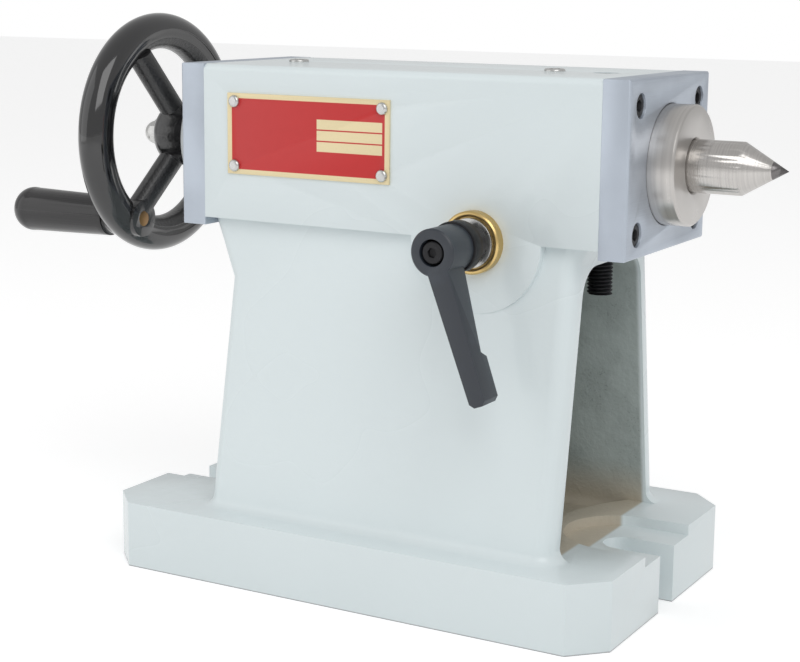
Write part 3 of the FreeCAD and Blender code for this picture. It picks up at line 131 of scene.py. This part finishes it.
class TailstockStage(bpy.types.PropertyGroup):
    """Camera and light."""
    lens: bpy.props.FloatProperty(name="Lens", description="Focal length in millimetres", default=79.41)
    key_power: bpy.props.FloatProperty(name="Key light", description="Power in watts", default=9.0, unit="POWER")
    fill_power: bpy.props.FloatProperty(name="Fill light", description="Power in watts", default=4.0, unit="POWER")
    sky: share("Sky", "Strength of the world's soft light", 0.62)


# ---------------------------------------------------------------------------------------------------------
# Finishes
# ---------------------------------------------------------------------------------------------------------
class Socket:
    """A node's output; arithmetic on it adds Math nodes."""

    def __init__(self, finish, output):
        self.finish = finish
        self.output = output

    def math(self, operation, *values):
        return self.finish.node("ShaderNodeMath", dict(operation=operation), dict(enumerate(values)))

    def __add__(self, other):
        return self.math("ADD", self, other)

    def __radd__(self, other):
        return self.math("ADD", other, self)

    def __sub__(self, other):
        return self.math("SUBTRACT", self, other)

    def __rsub__(self, other):
        return self.math("SUBTRACT", other, self)

    def __mul__(self, other):
        return self.math("MULTIPLY", self, other)

    def __rmul__(self, other):
        return self.math("MULTIPLY", other, self)

    def __truediv__(self, other):
        return self.math("DIVIDE", self, other)

    def __abs__(self):
        return self.math("ABSOLUTE", self)

    def power(self, exponent):
        return self.math("POWER", self, exponent)

    def largest(self, other):
        return self.math("MAXIMUM", self, other)

    def rise(self, low, high):
        """0 below low, 1 above high, smooth between."""
        return self.finish.node(
            "ShaderNodeMapRange", dict(interpolation_type="SMOOTHSTEP"),
            {"Value": self, "From Min": low, "From Max": high})

    def within(self, low, high, blur):
        """1 between low and high, falling to 0 over blur outside them."""
        return self.rise(low - blur, low) * (1 - self.rise(high, high + blur))


class Finish:
    """A procedural material on one shader, with its nodes made by name."""

    def __init__(self, name):
        self.material = bpy.data.materials.new(name)
        self.material.use_nodes = True
        self.tree = self.material.node_tree
        self.tree.nodes.clear()
        self.shader = self.tree.nodes.new("ShaderNodeBsdfPrincipled")
        ending = self.tree.nodes.new("ShaderNodeOutputMaterial")
        self.tree.links.new(self.shader.outputs[0], ending.inputs[0])
        self.place = self.node("ShaderNodeTexCoord", output="Object")
        self.x, self.y, self.z = self.split(self.place)

    def node(self, kind, settings=None, inputs=None, output=0):
        """Adds a node, sets it up, fills its sockets and returns one of its outputs."""
        made = self.tree.nodes.new(kind)
        for key, value in (settings or {}).items():
            if key == "stops":
                for index, (position, tone) in enumerate(value):
                    stop = made.color_ramp.elements[index] if index < 2 else made.color_ramp.elements.new(position)
                    stop.position = position
                    stop.color = (*tone, 1)
            else:
                setattr(made, key, value)
        for key, value in (inputs or {}).items():
            self.feed(made.inputs[key], value)
        return Socket(self, made.outputs[output])

    def feed(self, socket, value):
        """Links a Socket to an input, or sets the input to a number or colour."""
        if isinstance(value, Socket):
            self.tree.links.new(value.output, socket)
        elif value is not None:
            if socket.type == "RGBA":
                value = (*value[:3], 1)
            socket.default_value = value

    def seen(self):
        """1 where the camera, a reflection or a refraction looks, 0 for the light on other surfaces."""
        path = self.tree.nodes.new("ShaderNodeLightPath")
        camera, glossy, through = (
            Socket(self, path.outputs[name]) for name in ("Is Camera Ray", "Is Glossy Ray", "Is Transmission Ray"))
        return camera.largest(glossy).largest(through)

    def split(self, vector):
        parts = self.tree.nodes.new("ShaderNodeSeparateXYZ")
        self.feed(parts.inputs[0], vector)
        return [Socket(self, output) for output in parts.outputs]

    def stretched(self, x, y, z):
        """The place, scaled along each axis."""
        return self.node("ShaderNodeVectorMath", dict(operation="MULTIPLY"), {0: self.place, 1: (x, y, z)})

    def noise(self, scale, detail=2.0, place=None, roughness=0.5):
        """Cloudy values about 0.5."""
        return self.node(
            "ShaderNodeTexNoise", None,
            {"Vector": place or self.place, "Scale": scale, "Detail": detail, "Roughness": roughness})

    def mix(self, mask, low, high):
        """Blends two colours."""
        return self.node("ShaderNodeMix", dict(data_type="RGBA"), {0: mask, 6: low, 7: high}, output=2)

    def blend(self, mask, low, high):
        """Blends two numbers."""
        return mask * (high - low) + low

    def bump(self, height, distance, strength=1.0):
        """Gives the shader a relief whose height runs from 0 to 1 over distance."""
        relief = self.node("ShaderNodeBump", None, {"Strength": strength, "Distance": distance, "Height": height})
        self.feed(self.shader.inputs["Normal"], relief)

    def set(self, **values):
        """Feeds the shader's own sockets, named with underscores for spaces."""
        for key, value in values.items():
            self.feed(self.shader.inputs[key.replace("_", " ").title().replace("Ior", "IOR")], value)
        return self

    def put_on(self, piece):
        """Makes this the only material of a piece."""
        piece.data.materials.clear()
        piece.data.materials.append(self.material)


def casting_enamel():
    """Thick cool white enamel outside; inside the cavity, painted shade darkens the walls, which also carry random
    stains and specks, and a warm painted reflection tints the floor; bare machined underside.
    """
    tones = bpy.context.scene.tailstock_colours
    finish = Finish("casting_enamel")
    x, y, z = finish.x, finish.y, finish.z
    crown = 0.164
    crown_half = 0.033
    slope = 0.153
    wall = (crown - z) * slope + crown_half
    inside = (wall + 0.0008 - abs(y)).rise(0, 0.0006) * z.within(0.0260, crown + 0.0006, 0.0004)
    inside = inside * x.within(-0.0712, 0.1000, 0.0024)
    floor = inside * (1 - z.rise(0.0300, 0.0560))
    patch = finish.noise(55, 4).rise(0.40, 0.64)
    speck = finish.noise(900, 3).rise(0.58, 0.70)
    cloud = finish.noise(9, 2)
    outer = finish.mix(cloud.rise(0.3, 0.7), tones.enamel, [part * 0.975 for part in tones.enamel])
    # Painted shade: the cavity's walls take this darker tone for the shade inside the casting; the patches and specks
    # mixed into it are random stains.
    shaded_hollow = finish.mix(patch * 0.45, tones.shaded_hollow, [part * 0.72 for part in tones.shaded_hollow])
    shaded_hollow = finish.mix(speck * patch * 0.5, shaded_hollow, [part * 0.4 for part in tones.shaded_hollow])
    # Painted reflection: the lower part of the cavity gets the beige tone standing in for warm reflected light in the
    # shade.
    ground = finish.mix(floor, shaded_hollow, tones.floor_warm_reflection)
    under = 1 - z.rise(0.0001, 0.0008)
    painted = finish.mix(inside, outer, ground)
    finish.set(
        base_color=finish.mix(under, painted, (0.30, 0.30, 0.31)),
        roughness=finish.blend(inside, 0.24 + cloud * 0.08, 0.55),
        metallic=under * 0.8,
        coat_weight=(1 - inside) * 0.25,
    )
    peel = finish.noise(150, 2) * 0.6 + finish.noise(38, 2) * 1.2
    rough = finish.noise(420, 4) * 1.6
    finish.bump(finish.blend(inside, peel, peel + rough), 0.00022)
    return finish


def ground_steel():
    """Surface-ground plates with a fine straight grain and handling marks."""
    tones = bpy.context.scene.tailstock_colours
    finish = Finish("ground_steel")
    grain = finish.noise(1, 3, finish.stretched(3000, 60, 3000))
    smudge = finish.noise(28, 3)
    tone = finish.mix(smudge.rise(0.35, 0.7), tones.ground, [part * 0.86 for part in tones.ground])
    finish.set(
        base_color=finish.mix(grain.rise(0.3, 0.7) * 0.25, tone, [part * 1.12 for part in tones.ground]),
        metallic=0.75, roughness=0.34 + smudge * 0.16)
    finish.bump(grain, 0.00003)
    return finish


def turned_steel(name, tint, rings, polish):
    """Turned or cylindrically ground steel: fine rings round the spindle axis."""
    finish = Finish(name)
    ring = finish.noise(rings, 3, finish.stretched(1, 0.02, 0.02))
    smudge = finish.noise(40, 3)
    finish.set(
        base_color=finish.mix(ring.rise(0.35, 0.65) * 0.5, tint, [part * 0.78 for part in tint]),
        metallic=1.0, roughness=polish + smudge * 0.12 + ring * 0.06)
    finish.bump(ring, 0.00004)
    return finish


def black_oxide():
    """Blackened steel, slightly worn."""
    tones = bpy.context.scene.tailstock_colours
    finish = Finish("black_oxide")
    cloud = finish.noise(220, 3)
    finish.set(
        base_color=finish.mix(cloud.rise(0.5, 0.8) * 0.5, tones.black, [part * 2.5 for part in tones.black]),
        metallic=0.6, roughness=0.38 + cloud * 0.2)
    finish.bump(cloud, 0.00004)
    return finish


def bright_steel():
    """Plain bright fasteners."""
    finish = Finish("bright_steel")
    cloud = finish.noise(300, 3)
    finish.set(
        base_color=finish.mix(cloud, (0.62, 0.62, 0.61), (0.50, 0.50, 0.49)),
        metallic=1.0, roughness=0.20 + cloud * 0.16)
    finish.bump(cloud, 0.00002)
    return finish


def lever_coat():
    """Satin blue-black coat with a fine grain."""
    tones = bpy.context.scene.tailstock_colours
    finish = Finish("lever_coat")
    grain = finish.noise(2600, 2)
    wear = finish.noise(60, 4).rise(0.55, 0.8)
    finish.set(
        base_color=finish.mix(wear * 0.4, tones.lever, [part * 1.9 for part in tones.lever]),
        roughness=0.36 + grain * 0.12, specular_ior_level=0.6)
    finish.bump(grain, 0.00003)
    return finish


def wheel_enamel():
    """Gloss black on the rim's machined bead, rough-cast black on the spokes, hub and inner side of the rim."""
    tones = bpy.context.scene.tailstock_colours
    finish = Finish("wheel_enamel")
    across = finish.y - SPINDLE.y
    above = finish.z - SPINDLE.z
    radius = (across * across + above * above).power(0.5)
    bead = radius.rise(0.0494, 0.0500)
    hub = 1 - radius.rise(0.0165, 0.0172)
    smooth = bead.largest(hub * 0.6)
    cast = finish.noise(620, 3) + finish.noise(1900, 2) * 0.5
    soft = finish.noise(90, 2) * 0.3
    finish.set(
        base_color=tones.wheel,
        roughness=finish.blend(smooth, 0.30, 0.10),
        coat_weight=finish.blend(smooth, 0.3, 0.6), specular_ior_level=0.6)
    finish.bump(finish.blend(smooth, cast + soft, soft), 0.00032)
    return finish


def grip_plastic():
    """Polished black plastic with faint turning marks."""
    finish = Finish("grip_plastic")
    ring = finish.noise(500, 2, finish.stretched(1, 0.05, 0.05))
    cloud = finish.noise(35, 2)
    finish.set(base_color=(0.012, 0.011, 0.012), roughness=0.16 + cloud * 0.12, coat_weight=0.3)
    finish.bump(ring * 0.4 + cloud, 0.00012)
    return finish


def turned_brass(name, tint):
    """Turned brass or bronze."""
    finish = Finish(name)
    ring = finish.noise(900, 2, finish.stretched(0.05, 1, 0.05))
    cloud = finish.noise(120, 3)
    finish.set(
        base_color=finish.mix(cloud, tint, [part * 0.7 for part in tint]),
        metallic=1.0, roughness=0.24 + cloud * 0.2)
    finish.bump(ring, 0.00003)
    return finish


def clamp_brass():
    """The clamp sleeve: bright brass rim, and a dull grey dished end face that is painted shade from the lever with a
    dark painted reflection.
    """
    tones = bpy.context.scene.tailstock_colours
    finish = Finish("clamp_brass")
    along = finish.x - CLAMP.x
    above = finish.z - CLAMP.z
    radius = (along * along + above * above).power(0.5)
    lever_shaded_dish = (1 - radius.rise(0.0126, 0.0130)) * (1 - finish.y.rise(-0.0540, -0.0520))
    cloud = finish.noise(150, 3)
    rim = finish.mix(cloud, tones.brass, [part * 0.75 for part in tones.brass])
    finish.set(
        # Painted shade and reflection: the dished end face is darkened to grey for the lever's shade and the dark
        # reflection in it.
        base_color=finish.mix(lever_shaded_dish * 0.75, rim, (0.24, 0.22, 0.19)),
        metallic=1.0, roughness=finish.blend(lever_shaded_dish, 0.22 + cloud * 0.14, 0.42))
    finish.bump(finish.noise(2000, 2), 0.00002)
    return finish


def felt():
    """Dense oiled felt."""
    finish = Finish("felt")
    fibre = finish.noise(1600, 4)
    finish.set(base_color=finish.mix(fibre, (0.05, 0.05, 0.045), (0.11, 0.10, 0.09)), roughness=0.95)
    finish.bump(fibre, 0.0002)
    return finish


def plate_print():
    """Red field inside a bare cream border, with three blank fields for data."""
    tones = bpy.context.scene.tailstock_colours
    finish = Finish("plate_print")
    width = PLATE_HIGH.x - PLATE_LOW.x
    height = PLATE_HIGH.z - PLATE_LOW.z
    along = (finish.x - PLATE_LOW.x) / width
    up = (finish.z - PLATE_LOW.z) / height
    blur = 0.004
    red = along.within(0.030, 0.970, blur) * up.within(0.065, 0.935, 2 * blur)
    fields = None
    for low in (0.615, 0.480, 0.345):
        field = along.within(0.565, 0.955, blur) * up.within(low, low + 0.110, 2 * blur)
        fields = field if fields is None else fields.largest(field)
    printed = red * (1 - fields)
    scratch = finish.noise(1, 3, finish.stretched(4000, 1, 500)).rise(0.6, 0.75)
    cloud = finish.noise(180, 3)
    red_tone = finish.mix(cloud * 0.4, tones.plate_red, [part * 0.82 for part in tones.plate_red])
    cream = finish.mix(scratch * 0.4, tones.plate_cream, [part * 0.7 for part in tones.plate_cream])
    face = 1 - finish.y.rise(PLATE_LOW.y + 0.0001, PLATE_LOW.y + 0.0003)
    finish.set(
        base_color=finish.mix(printed * face, cream, red_tone),
        metallic=(1 - printed * face) * 0.35, roughness=finish.blend(printed, 0.38, 0.30) + cloud * 0.1)
    finish.bump(printed + cloud * 0.1, 0.00005)
    return finish


# ---------------------------------------------------------------------------------------------------------
# Modelling helpers
# ---------------------------------------------------------------------------------------------------------
def only(piece):
    """Selects one piece and makes it active."""
    bpy.ops.object.select_all(action="DESELECT")
    piece.select_set(True)
    bpy.context.view_layer.objects.active = piece


def apply_all(piece):
    """Applies every modifier of a piece."""
    only(piece)
    for modifier in list(piece.modifiers):
        bpy.ops.object.modifier_apply(modifier=modifier.name)


def smooth(piece, degrees=35):
    """Smooth shading, kept sharp over an angle."""
    only(piece)
    bpy.ops.object.shade_smooth_by_angle(angle=math.radians(degrees))


def seat(piece, node, *others):
    """Makes a piece ride on the body of the node that it stands for."""
    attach(piece, BODY_OF[node])
    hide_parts(node, *others)


def copy_of(node, name):
    """A CAD node's mesh as a new piece, with its loose triangles joined and its flat faces whole."""
    piece = bpy.data.objects.new(name, frame["nodes"][node].data.copy())
    bpy.context.scene.collection.objects.link(piece)
    piece.data.materials.clear()
    only(piece)
    bpy.ops.object.mode_set(mode="EDIT")
    bpy.ops.mesh.select_all(action="SELECT")
    bpy.ops.mesh.remove_doubles(threshold=2e-6)
    bpy.ops.mesh.dissolve_limited(angle_limit=math.radians(0.4), delimit=set())
    bpy.ops.object.mode_set(mode="OBJECT")
    return piece


def softened(node, width, finish, segments=2, degrees=30):
    """A copy of a CAD node with its sharp edges rounded, which stands for the node."""
    piece = copy_of(node, f"{node}_soft")
    rounding = piece.modifiers.new("edges", "BEVEL")
    rounding.width = width
    rounding.segments = segments
    rounding.limit_method = "ANGLE"
    rounding.angle_limit = math.radians(degrees)
    rounding.miter_outer = "MITER_ARC"
    apply_all(piece)
    smooth(piece)
    finish.put_on(piece)
    seat(piece, node)
    return piece


class Making:
    """What every operator of this add-on shares."""
    bl_options = {"REGISTER", "UNDO"}

    def execute(self, context):
        self.make(context.scene.tailstock_edges)
        return {"FINISHED"}


class TAILSTOCK_OT_casting(Making, bpy.types.Operator):
    """The main casting, its edges softened by paint"""
    bl_idname = "tailstock.casting"
    bl_label = "Casting"

    def make(self, edges):
        softened("body_casting", edges.paint, casting_enamel(), segments=3)


class TAILSTOCK_OT_plates(Making, bpy.types.Operator):
    """The ground front and rear plates and the bearing cap"""
    bl_idname = "tailstock.plates"
    bl_label = "Plates"

    def make(self, edges):
        steel = ground_steel()
        for node in ("front_cover", "rear_cover"):
            softened(node, edges.ground, steel)
        cap = turned_steel("cap_steel", (0.60, 0.63, 0.64), 900, 0.30)
        softened("bearing_cap", edges.ground, cap)


class TAILSTOCK_OT_screws(Making, bpy.types.Operator):
    """The socket screws, the top plug and the lever's screw"""
    bl_idname = "tailstock.screws"
    bl_label = "Screws"

    def make(self, edges):
        black = black_oxide()
        for node in ("front_cover_screws", "rear_cover_screws", "bearing_cap_screws", "feed_nut_screws",
                     "top_plug", "lever_screw", "clamp_stud"):
            softened(node, edges.turned, black)


class TAILSTOCK_OT_key_screw(Making, bpy.types.Operator):
    """The threaded key screw in the crown of the hollow"""
    bl_idname = "tailstock.key_screw"
    bl_label = "Key screw"

    def make(self, edges):
        radius = (KEY_HIGH.x - KEY_LOW.x) / 2
        dog_length = 4.7 * MM
        overlap = 1 * MM
        top = KEY_HIGH.z - dog_length
        piece = thread("quill_key_screw_thread", KEY, KEY_LOW.z, top, radius,
                       edges.thread_pitch, edges.thread_depth)
        dog_radius = 3.95 * MM
        socket_corner = 3.46 * MM
        socket_depth = 6 * MM
        bpy.ops.object.select_all(action="DESELECT")
        bpy.ops.mesh.primitive_cylinder_add(
            vertices=48, radius=dog_radius, depth=dog_length + overlap,
            location=(KEY.x, 0, (KEY_HIGH.z + top - overlap) / 2))
        dog = bpy.context.active_object
        combine(piece, dog, "UNION")
        bpy.ops.object.select_all(action="DESELECT")
        bpy.ops.mesh.primitive_cylinder_add(
            vertices=6, radius=socket_corner, depth=2 * socket_depth, location=(KEY.x, 0, KEY_LOW.z))
        combine(piece, bpy.context.active_object, "DIFFERENCE")
        smooth(piece)
        black_oxide().put_on(piece)
        seat(piece, "quill_key_screw")


def combine(piece, tool, operation):
    """Joins a tool to a piece, or cuts it out, and removes the tool."""
    only(tool)
    bpy.ops.object.transform_apply(location=True, rotation=True, scale=True)
    cut = piece.modifiers.new("cut", "BOOLEAN")
    cut.operation = operation
    cut.object = tool
    cut.solver = "EXACT"
    apply_all(piece)
    bpy.data.objects.remove(tool)


def thread(name, centre, low, high, radius, pitch, depth):
    """A V thread between two heights on an upright axis, closed at both ends."""
    root = radius - depth
    mesh = bpy.data.meshes.new(name)
    mesh.from_pydata([(root, 0, 0), (radius, 0, pitch * 0.44), (radius, 0, pitch * 0.56), (root, 0, pitch)],
                     [(0, 1), (1, 2), (2, 3)], [])
    piece = bpy.data.objects.new(name, mesh)
    bpy.context.scene.collection.objects.link(piece)
    winding = piece.modifiers.new("winding", "SCREW")
    winding.screw_offset = pitch
    winding.iterations = math.ceil((high - low) / pitch) + 3
    winding.steps = 48
    winding.render_steps = 48
    winding.use_merge_vertices = True
    winding.merge_threshold = 1e-5
    apply_all(piece)
    piece.location = (centre.x, centre.y, low - 1.5 * pitch)
    only(piece)
    bpy.ops.object.transform_apply(location=True)
    bpy.ops.object.mode_set(mode="EDIT")
    bpy.ops.mesh.select_all(action="SELECT")
    bpy.ops.mesh.remove_doubles(threshold=1e-6)
    for height, side in ((low, 1), (high, -1)):
        bpy.ops.mesh.select_all(action="SELECT")
        bpy.ops.mesh.bisect(plane_co=(0, 0, height), plane_no=(0, 0, side), use_fill=True, clear_inner=True)
    bpy.ops.mesh.select_all(action="SELECT")
    bpy.ops.mesh.normals_make_consistent(inside=False)
    bpy.ops.object.mode_set(mode="OBJECT")
    return piece


class TAILSTOCK_OT_spindle(Making, bpy.types.Operator):
    """Quill, centre, feed screw and nut"""
    bl_idname = "tailstock.spindle"
    bl_label = "Spindle pieces"

    def make(self, edges):
        tint = tuple(bpy.context.scene.tailstock_colours.turned)
        softened("quill", edges.turned, turned_steel("quill_steel", tint, 700, 0.20))
        softened("dead_centre", edges.turned, turned_steel("centre_steel", tint, 1500, 0.16))
        softened("carbide_tip", 0.05 * MM, turned_steel("carbide", (0.20, 0.19, 0.19), 2500, 0.22))
        softened("feed_screw", edges.turned, turned_steel("screw_steel", tint, 900, 0.28))
        bronze = turned_brass("bronze", (0.55, 0.38, 0.18))
        for node in ("feed_nut", "screw_bush", "thrust_washers"):
            softened(node, edges.turned, bronze)
        felt().put_on(frame["nodes"]["quill_wiper"])


class TAILSTOCK_OT_handwheel(Making, bpy.types.Operator):
    """Handwheel, its hub nut and its revolving handle"""
    bl_idname = "tailstock.handwheel"
    bl_label = "Handwheel"

    def make(self, edges):
        wheel = softened("handwheel", edges.turned, wheel_enamel(), degrees=40)
        smooth(wheel, 50)
        softened("handle_grip", edges.turned, grip_plastic())
        softened("handle_bolt", edges.turned, turned_brass("bolt_brass", (0.30, 0.18, 0.08)))
        bright = bright_steel()
        bright.put_on(frame["nodes"]["wheel_key"])
        for node in ("wheel_nut", "wheel_washer"):
            softened(node, edges.turned, bright)


class TAILSTOCK_OT_clamp(Making, bpy.types.Operator):
    """The clamp's brass sleeves and its lever"""
    bl_idname = "tailstock.clamp"
    bl_label = "Clamp"

    def make(self, edges):
        brass = clamp_brass()
        for node in ("clamp_sleeve_near", "clamp_sleeve_far"):
            softened(node, edges.turned, brass)
        softened("clamping_lever", edges.lever, lever_coat(), segments=3)
        bright = bright_steel()
        softened("clamp_washer", edges.turned, bright)
        spring = copy_of("lever_spring", "lever_spring_coil")
        smooth(spring)
        bright.put_on(spring)
        seat(spring, "lever_spring")
        closed = SPRING_HIGH.y - SPRING_LOW.y - LIFT
        closed / (closed + LIFT)
        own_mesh(spring)


class TAILSTOCK_OT_nameplate(Making, bpy.types.Operator):
    """The printed plate with its rivets, and the oilers"""
    bl_idname = "tailstock.nameplate"
    bl_label = "Plate and trim"

    def make(self, edges):
        softened("nameplate", 0.12 * MM, plate_print())
        bright = bright_steel()
        for node in ("nameplate_rivets", "ball_oilers", "oiler_ball_front", "oiler_ball_rear"):
            bright.put_on(frame["nodes"][node])


class TAILSTOCK_OT_stage(bpy.types.Operator):
    """Pale floor, soft light and the camera"""
    bl_idname = "tailstock.stage"
    bl_label = "Stage"
    bl_options = {"REGISTER", "UNDO"}

    def execute(self, context):
        settings = context.scene.tailstock_stage
        self.floor()
        self.world(settings)
        self.lamp("key", settings.key_power, (0.9, -0.9, 1.3), 1.2)
        self.lamp("fill", settings.fill_power, (-1.1, -1.0, 0.7), 1.4)
        self.camera(context, settings)
        context.scene.view_settings.view_transform = "Standard"
        return {"FINISHED"}

    def floor(self):
        bpy.ops.object.select_all(action="DESELECT")
        bpy.ops.mesh.primitive_plane_add(size=12, location=(0, 0, CASTING_LOW.z))
        sheet = bpy.context.active_object
        sheet.name = "studio_floor"
        finish = Finish("studio_floor")
        seen = finish.seen()
        finish.set(base_color=(0.86, 0.86, 0.86), roughness=0.9,
                   emission_color=finish.mix(seen, (0, 0, 0), (0.36, 0.36, 0.36)), emission_strength=1.0)
        finish.put_on(sheet)

    def world(self, settings):
        world = bpy.data.worlds.new("studio")
        bpy.context.scene.world = world
        world.use_nodes = True
        nodes = world.node_tree.nodes
        links = world.node_tree.links
        nodes.clear()
        ending = nodes.new("ShaderNodeOutputWorld")
        light = nodes.new("ShaderNodeBackground")
        light.inputs["Color"].default_value = (1, 1, 1, 1)
        light.inputs["Strength"].default_value = settings.sky
        shown = nodes.new("ShaderNodeBackground")
        shown.inputs["Color"].default_value = (1, 1, 1, 1)
        shown.inputs["Strength"].default_value = 1
        path = nodes.new("ShaderNodeLightPath")
        blend = nodes.new("ShaderNodeMixShader")
        links.new(path.outputs["Is Camera Ray"], blend.inputs[0])
        links.new(light.outputs[0], blend.inputs[1])
        links.new(shown.outputs[0], blend.inputs[2])
        links.new(blend.outputs[0], ending.inputs[0])

    def lamp(self, name, power, place, size):
        data = bpy.data.lights.new(name, "AREA")
        data.energy = power
        data.size = size
        lamp = bpy.data.objects.new(name, data)
        bpy.context.scene.collection.objects.link(lamp)
        lamp.location = place
        aim = Vector((0, 0, 0.13)) - lamp.location
        lamp.rotation_euler = aim.to_track_quat("-Z", "Y").to_euler()

    def camera(self, context, settings):
        azimuth = math.radians(29.13)
        elevation = math.radians(10.79)
        roll = math.radians(0.63)
        target = Vector((-0.00598, 0, 0.12548))
        distance = 0.88041
        back = Vector((math.sin(azimuth) * math.cos(elevation), -math.cos(azimuth) * math.cos(elevation),
                       math.sin(elevation)))
        right = Vector((math.cos(azimuth), math.sin(azimuth), 0))
        up = back.cross(right)
        turned_right = right * math.cos(roll) + up * math.sin(roll)
        turned_up = up * math.cos(roll) - right * math.sin(roll)
        data = bpy.data.cameras.new("camera")
        data.lens = settings.lens
        data.sensor_width = 36
        data.shift_x = -0.0105
        data.shift_y = -0.0169
        data.clip_end = 50
        camera = bpy.data.objects.new("camera", data)
        context.scene.collection.objects.link(camera)
        turn = Matrix((turned_right, turned_up, back)).transposed().to_4x4()
        camera.matrix_world = Matrix.Translation(target + back * distance) @ turn
        context.scene.camera = camera


class TAILSTOCK_PT_panel(bpy.types.Panel):
    """The add-on's buttons and settings"""
    bl_idname = "TAILSTOCK_PT_panel"
    bl_label = "Lathe Tailstock"
    bl_space_type = "VIEW_3D"
    bl_region_type = "UI"
    bl_category = "Tailstock"

    def draw(self, context):
        for operator in STEPS:
            self.layout.operator(operator.bl_idname)
        for group in (context.scene.tailstock_edges, context.scene.tailstock_colours, context.scene.tailstock_stage):
            box = self.layout.box()
            for name in group.__annotations__:
                box.prop(group, name)


STEPS = (
    TAILSTOCK_OT_casting, TAILSTOCK_OT_plates, TAILSTOCK_OT_screws, TAILSTOCK_OT_key_screw, TAILSTOCK_OT_spindle,
    TAILSTOCK_OT_handwheel, TAILSTOCK_OT_clamp, TAILSTOCK_OT_nameplate, TAILSTOCK_OT_stage,
)
GROUPS = {
    "tailstock_edges": TailstockEdges, "tailstock_colours": TailstockColours, "tailstock_stage": TailstockStage,
}


def register():
    for item in (*GROUPS.values(), *STEPS, TAILSTOCK_PT_panel):
        bpy.utils.register_class(item)
    for name, group in GROUPS.items():
        setattr(bpy.types.Scene, name, bpy.props.PointerProperty(type=group))


def unregister():
    for name in GROUPS:
        delattr(bpy.types.Scene, name)
    for item in reversed((*GROUPS.values(), *STEPS, TAILSTOCK_PT_panel)):
        bpy.utils.unregister_class(item)


def main():
    register()
    for step in STEPS:
        group, name = step.bl_idname.split(".")
        getattr(getattr(bpy.ops, group), name)()


if __name__ == "__main__":
    main()
